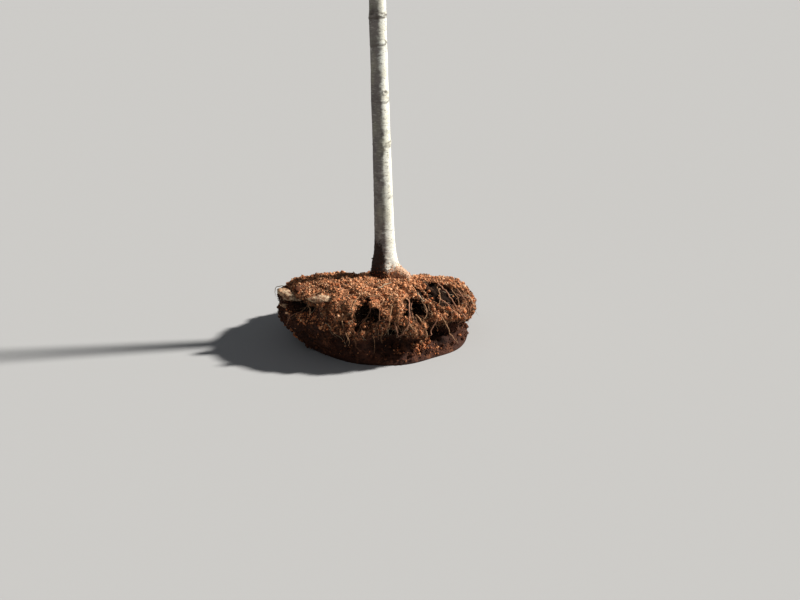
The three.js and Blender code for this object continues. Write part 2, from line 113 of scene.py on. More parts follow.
# Tears in the mat of roots and soil: bearing and height, half widths round and up the ball, and depth
TEARS = (
    (-46, 0.24, 6, 0.017, 0.055),
    (-28, 0.222, 9, 0.034, 0.075),
    (-62, 0.2, 7, 0.028, 0.07),
    (-41, 0.088, 13, 0.046, 0.08),
    (-103, 0.21, 6, 0.04, 0.06),
    (-84, 0.088, 16, 0.042, 0.06),
    (-120, 0.084, 12, 0.04, 0.03),
    (-150, 0.203, 13, 0.022, 0.038),
    (-8, 0.19, 7, 0.03, 0.04),
    (35, 0.15, 10, 0.04, 0.035),
    (118, 0.12, 12, 0.035, 0.03),
)
# Where the tears open widest, painted black as shade and without crumbs: bearing and height, half widths
# round and up
HOLLOWS = (
    (-101, 0.203, 8, 0.046),
    (-66, 0.205, 9, 0.038),
    (-49, 0.128, 10, 0.042),
    (-85, 0.148, 10, 0.034),
    (-57, 0.248, 5, 0.022),
    (-32, 0.226, 17, 0.04),
    (-148, 0.202, 13, 0.024),
)
HOLLOW_DEPTH = 0.03
# Where the crumbs have come off above the torn edge: bearing, half width round, and how far up
WORN_EDGES = ((-130, 17, 0.04), (-86, 9, 0.014))
# Crumbs that cling in clusters to the clay: bearing and height, half widths round and up
CLUSTERS = (
    (-139, 0.172, 7, 0.032),
    (-128, 0.16, 5, 0.03),
    (-120, 0.196, 7, 0.028),
    (-58, 0.06, 12, 0.026),
)
# The height of the mat's torn lower edge at bearings all round, with bare clay set back below it
EDGE_BEARINGS = (-180, -150, -135, -118, -108, -98, -88, -78, -60, -45, -30, 0, 60, 120, 150, 180)
EDGE_HEIGHTS = (205, 205, 185, 150, 110, 160, 160, 135, 100, 105, 115, 110, 85, 85, 120, 205)

# Thick roots cut when the ball was dug: where each leaves the soil, where its cut end is, and its radius
CUT_ROOTS = (
    ((-0.35, -0.142, 0.238), (-0.412, -0.15, 0.231), 0.0185),
    ((-0.223, -0.242, 0.26), (-0.278, -0.258, 0.241), 0.0145),
    ((-0.384, -0.146, 0.191), (-0.408, -0.16, 0.189), 0.008),
)
CUT_ROOT_INSIDE = 0.06
CUT_ROOT_DIP = 0.042

# The trunk's form, as in the part's source
TRUNK_HEIGHT = 3.65
FOOT_RADIUS = 0.0395
TIP_RADIUS = 0.007
LEAN = 0.024
FLARE = 0.024
FLARE_HEIGHT = 0.07
BUTTRESS_REACH = 0.036
BUTTRESS_HEIGHT = 0.026
BUTTRESS_BEARING = -25
TRUNK_STEPS = 28
TRUNK_SUNK = 0.05

# The crown's seeded rule, as in the part's source
FIRST_BOUGH = 1.5
LAST_BOUGH = 3.3
BOUGHS = 17
LOWEST_LIMB = 1.33
LIMB_SHORTENING = 0.45
LOWEST_RISE = 36
RISE_GAIN = 22
LIMB_STEPS = 12
BOUGH_STEPS = 5
LIMB_TIP = 0.0016
UPPER_MASSES = 6
FIRST_UPPER_MASS = 2.78
LAST_UPPER_MASS = 3.56
LONGEST_UPPER_STEM = 0.52
UPPER_STEM_RADIUS = 0.0055
LEADER_LENGTH = 0.82
STEM_STEPS = 8
GOLDEN_ANGLE = 137.5
SHOOTS_PER_STEM = 10
SHOOT_REACH = 0.62
SHOOT_STEPS = 3
SHOOT_RADIUS = 0.004
TWIGS_PER_SHOOT = 6
TWIG_REACH = 0.3
TWIG_STEPS = 2
TWIG_RADII = (0.0022, 0.002, 0.0016)
CROWN_SEED = 4127
SPACE_MARGIN = 0.004
LIMB_GROWTH = (0.5, 0.18)
UPPER_GROWTH = (0.6, 0.16)
LEADER_GROWTH = (0.1, 0.07)
SHOOT_GROWTH = (0.35, 0.22)

# What this scene adds to the rule: the finest spurs
SPURS_PER_TWIG = 4
SPUR_REACH = 0.55
SPUR_RADII = (0.0015, 0.0012, 0.0009)
REACH_OVER = 0.012
# How far round the meeting of a limb and the trunk both swell into each other, in radii of the limb
FILLET = 2.2
# How many of a limb's fine rows lie in its first step, for each row in a later step
FOOT_FINENESS = 4

UP = np.array([0.0, 0.0, 1.0])
MASK = 0xFFFFFFFF
# How much further along each next tube of a stack starts on the straightened limb
STRAIGHT_SHIFT = 0.37


# Plain numpy helpers


def unit(vectors):
    """Vectors scaled to length one."""
    length = np.linalg.norm(vectors, axis=-1, keepdims=True)
    return vectors / np.maximum(length, 1e-12)


def mix(low, high, share):
    """low where share is 0, high where it is 1."""
    return low + (high - low) * share


def smoothstep(value, low, high):
    """0 below low, 1 above high, and 3s^2 - 2s^3 between."""
    share = np.clip((value - low) / (high - low), 0, 1)
    return share * share * (3 - 2 * share)


def wrapped(angle):
    """Angles brought into minus pi to pi."""
    return np.arctan2(np.sin(angle), np.cos(angle))


def off_bearing(angle, bearing):
    """Angles from a bearing in degrees."""
    return wrapped(angle - math.radians(bearing))


def facing(angle, bearing, low, high):
    """1 on the side towards a bearing in degrees, 0 behind it. The limits are cosines."""
    return smoothstep(np.cos(angle - math.radians(bearing)), low, high)


def bell(value, half):
    """exp(-(value / half)^2)"""
    return np.exp(-((value / half) ** 2))


def bearing_of(points):
    """Bearings of points round the upright axis."""
    return np.arctan2(points[..., 1], points[..., 0])


def reach_of(points):
    """Distances of points from the upright axis."""
    return np.hypot(points[..., 0], points[..., 1])


def round_axis(angle, reach, height):
    """Points at bearings, reaches and heights round the upright axis."""
    return np.stack(np.broadcast_arrays(reach * np.cos(angle), reach * np.sin(angle), height), axis=-1)


def ring_turns(count):
    """Even turns round a ring."""
    return np.arange(count) * 2 * np.pi / count


def cell_number(cells, seed):
    """A fixed random number from 0 to 1 for each cell of space."""
    x, y, z = (cells[..., i].astype(np.int64) for i in range(3))
    mixed = (x * 374761393 + y * 668265263 + z * 974634777 + seed * 144665) & MASK
    mixed = ((mixed ^ (mixed >> 13)) * 1274126177) & MASK
    mixed = ((mixed ^ (mixed >> 15)) * 2246822519) & MASK
    return ((mixed ^ (mixed >> 16)) & 0xFFFFFF) / 0xFFFFFF


def waves(points, size, seed, octaves=1):
    """Smooth random heights from -1 to 1: numbers at the corners of cells of the given size, blended.

    Each further octave has half the size and half the height."""
    total = np.zeros(points.shape[:-1])
    for octave in range(octaves):
        place = points / size * 2**octave
        corner = np.floor(place)
        share = place - corner
        share = share * share * (3 - 2 * share)
        value = 0
        for step in np.ndindex(2, 2, 2):
            weight = np.prod(np.where(step, share, 1 - share), axis=-1)
            value = value + weight * cell_number(corner + step, seed + 31 * octave)
        total += (2 * value - 1) / 2**octave
    return total


def shake(points, size, seed):
    """Smooth random moves in three directions."""
    return np.stack([waves(points, size, seed + i, 2) for i in range(3)], axis=-1)


def clods(points, size, seed):
    """Round clods packed side by side: 1 at each clod's middle and 0 where two clods meet.

    Each cell has one middle at a random place, and the height is 1 - (distance / size)^2 from the nearest."""
    place = points / size
    cell = np.floor(place)
    nearest = np.full(points.shape[:-1], 9.0)
    for step in np.ndindex(3, 3, 3):
        other = cell + np.array(step) - 1
        middle = other + np.stack([cell_number(other, seed + i) for i in range(3)], axis=-1)
        nearest = np.minimum(nearest, ((place - middle) ** 2).sum(-1))
    return np.clip(1 - nearest, 0, 1)


def smooth_lines(lines, parts):
    """Lines carried smoothly through their points (Catmull-Rom)."""
    first = 2 * lines[:, :1] - lines[:, 1:2]
    last = 2 * lines[:, -1:] - lines[:, -2:-1]
    padded = np.concatenate([first, lines, last], axis=1)
    a, b, c, d = (padded[:, i : padded.shape[1] - 3 + i, None] for i in range(4))
    t = (np.arange(parts) / parts)[:, None]
    curve = 0.5 * (2 * b + (c - a) * t + (2 * a - 5 * b + 4 * c - d) * t**2 + (3 * b - a - 3 * c + d) * t**3)
    curve = curve.reshape(len(lines), -1, lines.shape[-1])
    return np.concatenate([curve, lines[:, -1:]], axis=1)


def lengths_along(lines):
    """How far along its line each point is."""
    steps = np.linalg.norm(np.diff(lines, axis=1), axis=-1)
    return np.concatenate([np.zeros((len(lines), 1)), np.cumsum(steps, axis=1)], axis=1)


# Meshes


def tube_faces(rows, sides, count=1):
    """Quads between the rings of a tube, and triangles from its first and last ring to a middle point each.

    Each tube has its rings first, then the start's middle, then the end's."""
    ring = np.arange(rows * sides).reshape(rows, sides)
    after = np.roll(ring, -1, axis=1)
    quads = np.stack([ring[:-1], after[:-1], after[1:], ring[1:]], axis=-1).reshape(-1, 4)
    start, end = (np.full(sides, rows * sides + i) for i in range(2))
    caps = np.stack([[start, after[0], ring[0]], [end, ring[-1], after[-1]]]).swapaxes(1, 2).reshape(-1, 3)
    offset = (np.arange(count) * (rows * sides + 2))[:, None, None]
    return (quads + offset).reshape(-1, 4), (caps + offset).reshape(-1, 3)


def carry(lines, radii, sides, point=1.0):
    """A round section carried along each line of a stack, closed at both ends.

    point = line(s) + radius(s) * (cos t * normal(s) + sin t * across(s)), where the normal turns as little as
    it can along the line. The end's middle stands out by its radius times point. Also gives the points'
    places on the straightened limb, (radius * cos t, radius * sin t, length along), each limb further on."""
    count, rows, _ = lines.shape
    if radii.ndim == 2:
        radii = radii[:, :, None]
    along = unit(np.gradient(lines, axis=1))
    normal = square_to(along[:, 0])
    normals = np.empty_like(lines)
    for row in range(rows):
        normal = unit(normal - (normal * along[:, row]).sum(-1, keepdims=True) * along[:, row])
        normals[:, row] = normal
    across = np.cross(along, normals)
    turn = ring_turns(sides)
    cos, sin = np.cos(turn)[:, None], np.sin(turn)[:, None]
    rings = lines[:, :, None] + radii[..., None] * (normals[:, :, None] * cos + across[:, :, None] * sin)
    last = radii[:, -1].mean(axis=-1, keepdims=True)
    middles = np.stack([lines[:, 0], lines[:, -1] + along[:, -1] * last * point], axis=1)
    points = np.concatenate([rings.reshape(count, -1, 3), middles], axis=1)
    length = lengths_along(lines) + np.arange(count)[:, None] * STRAIGHT_SHIFT
    straight = round_axis(turn, radii, length[:, :, None]).reshape(count, -1, 3)
    straight = np.concatenate([straight, round_axis(0.0, 0.0, length[:, [0, -1]])], axis=1)
    quads, triangles = tube_faces(rows, sides, count)
    return points.reshape(-1, 3), quads, triangles, straight.reshape(-1, 3)


def join(stacks):
    """Several stacks as one."""
    offset = np.cumsum([0] + [len(s[0]) for s in stacks])
    quads, triangles = (np.concatenate([s[i] + o for s, o in zip(stacks, offset)]) for i in (1, 2))
    points, straight = (np.concatenate([s[i] for s in stacks]) for i in (0, 3))
    return points, quads, triangles, straight


def placed(name, data):
    """An object in the scene."""
    made = bpy.data.objects.new(name, data)
    bpy.context.collection.objects.link(made)
    return made


def new_piece(name, points, quads, triangles, straight=None, finishes=(), tones=None, extra=()):
    """A mesh object at the origin from whole arrays, riding on the one body. The quads come first.

    finishes are its materials, tones the number of each face's finish, and extra its point attributes."""
    mesh = bpy.data.meshes.new(name)
    corners = np.concatenate([np.ravel(quads), np.ravel(triangles)])
    starts = np.concatenate([np.arange(len(quads)) * 4, len(quads) * 4 + np.arange(len(triangles)) * 3])
    mesh.vertices.add(len(points))
    mesh.vertices.foreach_set("co", np.asarray(points, np.float32).ravel())
    mesh.loops.add(len(corners))
    mesh.loops.foreach_set("vertex_index", corners.astype(np.int32))
    mesh.polygons.add(len(starts))
    mesh.polygons.foreach_set("loop_start", starts.astype(np.int32))
    mesh.polygons.foreach_set("use_smooth", np.ones(len(starts), bool))
    for finish in finishes:
        mesh.materials.append(finish)
    if tones is not None:
        mesh.polygons.foreach_set("material_index", np.asarray(tones, np.int32))
    if straight is not None:
        held = mesh.attributes.new("straight", "FLOAT_VECTOR", "POINT")
        held.data.foreach_set("vector", np.asarray(straight, np.float32).ravel())
    for key, values in extra:
        held = mesh.attributes.new(key, "FLOAT", "POINT")
        held.data.foreach_set("value", np.asarray(values, np.float32).ravel())
    mesh.update(calc_edges=True)
    if mesh.validate():
        raise RuntimeError(name + " has a face that Blender had to mend")
    piece = placed(name, mesh)
    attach(piece, "root")
    return piece


def grid_piece(name, points, marks, finish, order=1):
    """A grid of rings, closed with a point at each end. Each mark has its values, and those of the ends."""
    middles = [points[0].mean(axis=0), points[-1].mean(axis=0)]
    quads, caps = (faces[:, ::order] for faces in tube_faces(*points.shape[:2]))
    extra = [(key, np.append(values.ravel(), ends)) for key, values, ends in marks]
    points = np.concatenate([points.reshape(-1, 3), middles])
    return new_piece(name, points, quads, caps, finishes=[finish], extra=extra)


# The seeded rule


def seeded(seed):
    """Random numbers from 0 to 1, the same as in the part's source."""
    state = seed & MASK

    def draw():
        nonlocal state
        state = (state + 0x6D2B79F5) & MASK
        mixed = ((state ^ (state >> 15)) * (state | 1)) & MASK
        mixed ^= (mixed + (mixed ^ (mixed >> 7)) * (mixed | 61)) & MASK
        return (mixed ^ (mixed >> 14)) / 4294967296

    return draw


def child_seed(seed, index):
    """The seed of a limb's child."""
    return (seed * 31 + index * 7919 + 17) & MASK


def grow_line(start, heading, length, steps, growth, draw):
    """A line that lifts towards the light and sways a little at each step."""
    lift, sway = growth
    line = [np.array(start, float)]
    way = unit(np.array(heading, float))
    for _ in range(steps):
        drift = [sway * (draw() - 0.5), sway * (draw() - 0.5), sway * (draw() - 0.5) + lift / steps]
        way = unit(way + drift)
        line.append(line[-1] + way * length / steps)
    return np.array(line)


def square_to(heading):
    """Directions square to the headings."""
    helper = np.where(np.abs(heading[..., 2:]) < 0.9, UP, [1.0, 0.0, 0.0])
    return unit(np.cross(helper, heading))


def heading_at(line, index):
    """The direction of a line at one of its points."""
    return unit(line[min(index + 1, len(line) - 1)] - line[max(index - 1, 0)])


def limb_radii(start, steps):
    """A limb's radii at its points, down to its tip."""
    return LIMB_TIP + (start - LIMB_TIP) * (1 - np.arange(steps + 1) / steps) ** 0.9


def heading_out(bearing, rise):
    """A heading at a bearing that rises from level."""
    level = math.cos(rise)
    return np.array([math.cos(bearing) * level, math.sin(bearing) * level, math.sin(rise)])


def trunk_centre(height):
    """The trunk's centre: it leans towards -X and bends back higher up."""
    height = np.asarray(height, float)
    x = -LEAN * height + 0.034 * smoothstep(height, 1.0, 3.4)
    return np.stack([x, 0.01 * np.sin(height / 0.76), BALL_DEPTH + height], axis=-1)


def trunk_radius(height):
    """The trunk's plain radius: a taper, with a slight swelling where old buds stood."""
    taper = TIP_RADIUS + (FOOT_RADIUS - TIP_RADIUS) * (1 - height / TRUNK_HEIGHT)
    return taper + 0.0016 * bell(height - 0.965, 0.026)


def make_limb(index):
    """A whole limb: a bough, then the stem of its mass."""
    share = index / (BOUGHS - 1)
    seed = child_seed(CROWN_SEED, index)
    draw = seeded(seed)
    height = FIRST_BOUGH + (LAST_BOUGH - FIRST_BOUGH) * share + 0.04 * (draw() - 0.5)
    bearing = math.radians(GOLDEN_ANGLE * index + 24 * draw())
    rise = math.radians(LOWEST_RISE + RISE_GAIN * share + 8 * (draw() - 0.5))
    length = LOWEST_LIMB * (1 - LIMB_SHORTENING * share**2) * (0.9 + 0.2 * draw())
    line = grow_line(trunk_centre(height), heading_out(bearing, rise), length, LIMB_STEPS, LIMB_GROWTH, draw)
    radii = limb_radii(0.004 + 0.0075 * length, LIMB_STEPS)
    return {"seed": seed, "line": line, "radii": radii, "height": height, "bearing": bearing}


def make_upper_stem(index):
    """A smaller limb that leaves the trunk with no bough."""
    share = index / (UPPER_MASSES - 1)
    seed = child_seed(CROWN_SEED, 100 + index)
    draw = seeded(seed)
    height = FIRST_UPPER_MASS + (LAST_UPPER_MASS - FIRST_UPPER_MASS) * share
    bearing = math.radians(GOLDEN_ANGLE * index + 62 + 30 * draw())
    rise = math.radians(44 + 14 * share)
    length = LONGEST_UPPER_STEM * (1 - 0.35 * share)
    line = grow_line(trunk_centre(height), heading_out(bearing, rise), length, STEM_STEPS, UPPER_GROWTH, draw)
    radii = limb_radii(UPPER_STEM_RADIUS, STEM_STEPS)
    return {"seed": seed, "line": line, "radii": radii, "height": height, "bearing": bearing}


def make_leader():
    """The leader runs on from the trunk's tip."""
    seed = child_seed(CROWN_SEED, 200)
    start = trunk_centre(TRUNK_HEIGHT) + [0, 0, CLEARANCE]
    line = grow_line(start, UP, LEADER_LENGTH, STEM_STEPS, LEADER_GROWTH, seeded(seed))
    line[1][:2] = start[:2]
    radii = limb_radii(TIP_RADIUS, STEM_STEPS)
    return {"seed": seed, "line": line, "radii": radii}


def side_line(parent, index, count, reach, steps):
    """A side shoot: its place on its parent, turn, angle and length."""
    seed = child_seed(parent["seed"], index)
    draw = seeded(seed)
    share = 0.1 + (0.84 * (index + 0.3 + 0.4 * draw())) / count
    line, radii = parent["line"], parent["radii"]
    last = len(line) - 1
    at = min(share * last, last - 1e-6)
    row = int(at)
    start = mix(line[row], line[row + 1], at - row)
    along = heading_at(line, math.floor(at + 0.5))
    turn = math.radians(GOLDEN_ANGLE * index + 360 * parent["turn"])
    side = square_to(along)
    across = side * math.cos(turn) + np.cross(along, side) * math.sin(turn)
    off = math.radians(50 - 16 * share + 12 * (draw() - 0.5))
    heading = along * math.cos(off) + across * math.sin(off)
    length = reach * (1 - 0.68 * share) * (0.75 + 0.5 * draw())
    grown = grow_line(start, heading, length, steps, SHOOT_GROWTH, draw)
    thick = mix(radii[row], radii[row + 1], at - row)
    return {"seed": seed, "line": grown, "thick": thick, "turn": draw()}


def side_lines(parent, count, reach, steps, radii=()):
    """All the side shoots of a parent."""
    return [side_line(parent, i, count, reach, steps) | {"radii": np.array(radii)} for i in range(count)]


@lru_cache
def crown():
    """The crown's lines: whole limbs, upper stems and leader, and the shoots, twigs and spurs that keep to
    their own mass's space."""
    limbs = [make_limb(i) for i in range(BOUGHS)]
    uppers = [make_upper_stem(i) for i in range(UPPER_MASSES)]
    leader = make_leader()
    stems = []
    for limb in limbs:
        line = limb["line"][BOUGH_STEPS:].copy()
        line[0] += heading_at(limb["line"], BOUGH_STEPS) * CLEARANCE
        stems.append({"seed": limb["seed"], "line": line, "radii": limb["radii"][BOUGH_STEPS:]})
    stems += [dict(stem) for stem in [*uppers, leader]]
    for stem in stems:
        stem["turn"] = seeded(stem["seed"])()
    keeps = space_keeper(stems, limbs)
    grown = {"limbs": limbs, "uppers": uppers, "leader": leader, "shoots": [], "twigs": [], "spurs": []}
    for own, stem in enumerate(stems):
        reach = float(np.linalg.norm(stem["line"][-1] - stem["line"][0]))
        shoots = side_lines(stem, SHOOTS_PER_STEM, SHOOT_REACH * reach, SHOOT_STEPS)
        for shoot in shoots:
            shoot["radii"] = limb_radii(min(0.8 * shoot["thick"], SHOOT_RADIUS), SHOOT_STEPS)
        shoots = keeps(own, shoots)
        twigs, spurs = [], []
        for shoot in shoots:
            twigs += side_lines(shoot, TWIGS_PER_SHOOT, TWIG_REACH * reach, TWIG_STEPS, TWIG_RADII)
        twigs = keeps(own, twigs)
        for twig in twigs:
            reach = SPUR_REACH * line_length(twig["line"])
            spurs += side_lines(twig, SPURS_PER_TWIG, reach, TWIG_STEPS, SPUR_RADII)
        for key, lines in (("shoots", shoots), ("twigs", twigs), ("spurs", keeps(own, spurs))):
            grown[key] += lines
    return grown


def stacked(limbs, key):
    """One array of what several limbs hold."""
    return np.array([limb[key] for limb in limbs])


def line_length(line):
    """The length of a line along its points."""
    return float(np.linalg.norm(np.diff(line, axis=0), axis=1).sum())


def pieces_of(lines):
    """The straight pieces of lines: their starts and their steps."""
    starts = np.concatenate([line[:-1] for line in lines])
    return starts, np.concatenate([np.diff(line, axis=0) for line in lines])


def nearest_on(points, starts, steps):
    """How far points are from straight pieces of line, and at what share of each."""
    away = points[:, None] - starts
    share = np.clip((away * steps).sum(-1) / np.maximum((steps**2).sum(-1), 1e-18), 0, 1)
    return np.linalg.norm(away - share[..., None] * steps, axis=-1), share


def space_keeper(stems, limbs):
    """The test that leaves off lines out of their mass's space or the part's reach, or that touch a limb."""
    low, high = (np.array(corner) + over for corner, over in zip(cad_box, (-REACH_OVER, REACH_OVER)))
    homes = pieces_of([stem["line"] for stem in stems])
    firsts = np.cumsum([0] + [len(stem["line"]) - 1 for stem in stems[:-1]])
    trunk = pieces_of([trunk_centre(TRUNK_HEIGHT * (np.arange(TRUNK_STEPS + 1) / TRUNK_STEPS) ** 1.75)])
    boughs = pieces_of([limb["line"][: BOUGH_STEPS + 1] for limb in limbs])
    bough_room = np.repeat([limb["radii"][0] for limb in limbs], BOUGH_STEPS)

    def keeps(own, lines):
        if not lines:
            return []
        points = stacked(lines, "line")[:, 1:]
        shape = points.shape[:2]
        points = points.reshape(-1, 3)
        room = stacked(lines, "radii")[:, 1:].ravel() + SPACE_MARGIN
        near = np.minimum.reduceat(nearest_on(points, *homes)[0], firsts, axis=1)
        home = near[:, own].copy()
        near[:, own] = np.inf
        inside = near.min(axis=1) >= home + 2 * room
        inside &= ((points >= low) & (points <= high)).all(axis=1)
        away, share = nearest_on(points, *trunk)
        row = away.argmin(axis=1)
        where = (row + share[np.arange(len(row)), row]) / TRUNK_STEPS
        inside &= away.min(axis=1) >= trunk_radius(TRUNK_HEIGHT * where**1.75) + room
        inside &= (nearest_on(points, *boughs)[0] >= bough_room + room[:, None]).all(axis=1)
        return [line for line, fine in zip(lines, inside.reshape(shape).all(axis=1)) if fine]

    return keeps


# The ball's surface


def ball_outline(angle):
    """The ball's widest outline: longest towards -X, with a few slow bumps."""
    long = OVAL * np.cos(2 * angle) - LONG_SIDE * np.cos(angle)
    bumps = 0
    for out, turns, shift in OUTLINE_BUMPS:
        bumps = bumps + out * np.sin(turns * angle + shift)
    return BALL_RADIUS + long + BACK_SIDE * np.sin(angle) + bumps


def lumps(x, y, z):
    """Waves in several directions: an uneven crust."""
    return sum(out * np.sin(a * x + b * y + c * z + shift) for out, a, b, c, shift in LUMP_WAVES)


def oval_way(angle, height, oval):
    """Squared distances from an oval's middle on the ball: 1 on its edge."""
    bearing, level, half_round, half_up = oval
    away = off_bearing(angle, bearing) / math.radians(half_round)
    above = (height - level) / half_up
    return away**2 + above**2


def tear_depth(angle, height, reach, stray):
    """How deep the tears go, each a steep-sided pit. Stray lengths shift them."""
    angle, level = angle + STRAY_TURN * stray, height + stray
    depth = sum(deepest * np.exp(-(oval_way(angle, level, oval) ** 1.6)) for *oval, deepest in TEARS)
    return depth * smoothstep(reach, 0.1, 0.17) * smoothstep(height, 0, SIDE_FOOT)


def hollow_share(angle, height):
    """1 inside the hollows and 0 outside, with steep edges."""
    return np.max([1 - smoothstep(oval_way(angle, height, oval), 0.65, 1.25) for oval in HOLLOWS], axis=0)


def mat_edge(angle):
    """The height of the mat's torn lower edge."""
    return np.interp(np.degrees(wrapped(angle)), EDGE_BEARINGS, np.array(EDGE_HEIGHTS) / 1000)


def bare_share(angle, height, stray=0.0):
    """1 on the bare clay below the mat's torn edge, 0 on the mat. A stray height makes the edge ragged."""
    edge = mat_edge(angle) + stray
    return 1 - smoothstep(height, edge - 0.008, edge + 0.008)


def crumb_edge(angle):
    """The height down to which crumbs cover the mat."""
    edge = mat_edge(angle)
    for bearing, half_round, up in WORN_EDGES:
        edge = edge + up * bell(off_bearing(angle, bearing), math.radians(half_round))
    return edge


def cluster_share(places):
    """1 in the clusters of crumbs on the clay: the named ones and a few at random."""
    angle, height = bearing_of(places), places[..., 2]
    share = smoothstep(waves(places, 0.042, 47, 2), 0.5, 0.95)
    ragged = 0.5 * waves(places, 0.02, 48, 2)
    for oval in CLUSTERS:
        share = np.maximum(share, 1 - smoothstep(oval_way(angle, height, oval) + ragged, 0.5, 1.2))
    return share


def top_fall(x, y):
    """How far the top has fallen: to the back, and a little to +X."""
    past = y - FALL_FROM
    return TOP_FALL * 0.5 * (past + np.hypot(past, FALL_SOFTNESS)) + TOP_TILT * x


def mound_height(x, y):
    """Soil heaped against the left of the trunk's foot."""
    return MOUND * np.exp(-(((x + 0.074) / 0.042) ** 2) - ((y + 0.034) / 0.046) ** 2)


def ball_point(angle, share, stray=0.0, edge_stray=0.0):
    """The part's own surface of the ball. The share runs from 0 at the top's middle to 1 at the underside's.

    Top: a seat that falls to the back, then a quarter of a squared oval, blunt at the front and a straight
    slope at the back. Side: it draws in to the underside, more and more steeply. Tears and bare clay are set
    back level, so that the mat overhangs. Stray lengths shift the tears and the mat's edge."""
    rim = ball_outline(angle)
    foot = rim * (UNDERSIDE_SHARE + UNDERCUT_LEFT * np.cos(angle + math.radians(35)))
    back = smoothstep(np.sin(angle), -0.2, 0.75)
    seat = mix(SEAT_FRONT, SEAT_BACK, back)
    widest = WIDEST_HEIGHT - BACK_DROP * back
    turn = np.clip(share / TOP_SHARE, 0, 1) * np.pi / 2
    flat = seat * np.minimum(1, share / 0.04)
    top_reach = flat + (rim - seat) * np.sin(turn) ** (2 / mix(SHOULDER_FRONT, SHOULDER_BACK, back))
    level = BALL_DEPTH - top_fall(flat * np.cos(angle), flat * np.sin(angle))
    fall = np.clip(np.cos(turn), 0, 1) ** (2 / mix(TOP_FRONT, TOP_BACK, back))
    down = np.clip((share - TOP_SHARE) / (SIDE_SHARE - TOP_SHARE), 0, 1)
    side_reach = (foot + (rim - foot) * (1 - down**2)) * np.clip((1 - share) / (1 - SIDE_SHARE), 0, 1)
    reach = np.where(share <= TOP_SHARE, top_reach, side_reach)
    height = np.where(share <= TOP_SHARE, widest + (level - widest) * fall, widest * (1 - down))
    crust = smoothstep(reach, seat, seat + 0.06) * smoothstep(height, 0, SIDE_FOOT)
    swell = LUMP * lumps(reach * np.cos(angle), reach * np.sin(angle), height) * crust
    left = bell(off_bearing(angle, 190), math.radians(52))
    set_back = mix(MAT_OVERHANG, MAT_OVERHANG_LEFT, left) * smoothstep(height, 0, 0.045)
    torn = tear_depth(angle, height, reach, stray)
    reach = reach + swell - torn - set_back * bare_share(angle, height, edge_stray)
    place = round_axis(angle, reach, height + 0.6 * swell * crust)
    place[..., 2] += np.where(share < TOP_SHARE, mound_height(place[..., 0], place[..., 1]), 0)
    return place


CORE_ROWS = 212
CORE_UNDER_ROWS = 5
CORE_COLUMNS = 440
FRONT_FINENESS = 0.4
SMALLEST_CELL = 0.0008
# The core's first row that a path may reach, and how many rows from the last it stops
FIRST_WALKED = 3
AFTER_WALKED = 9


def grid_normals(points):
    """Outward normals of a grid of rows down and columns round."""
    round_step = np.roll(points, -1, axis=1) - np.roll(points, 1, axis=1)
    down_step = np.gradient(points, axis=0)
    return unit(np.cross(down_step, round_step))


def core_places():
    """Bearings and shares of the core's grid, finer at the torn front."""
    fine = np.linspace(0.0005, SIDE_SHARE, 3000)
    profile = ball_point(np.radians([-60.0, 90.0])[:, None], fine[None])
    steps = np.linalg.norm(np.diff(profile, axis=1), axis=-1) * [[0.8], [0.2]]
    length = np.concatenate([[0], np.cumsum(steps.sum(axis=0))])
    even = np.interp(np.linspace(0, length[-1], CORE_ROWS), length, fine)
    under = np.linspace(SIDE_SHARE, 0.995, CORE_UNDER_ROWS + 1)[1:]
    turn = ring_turns(CORE_COLUMNS)
    return (turn - FRONT_FINENESS * np.cos(turn))[None], np.concatenate([even, under])[:, None]


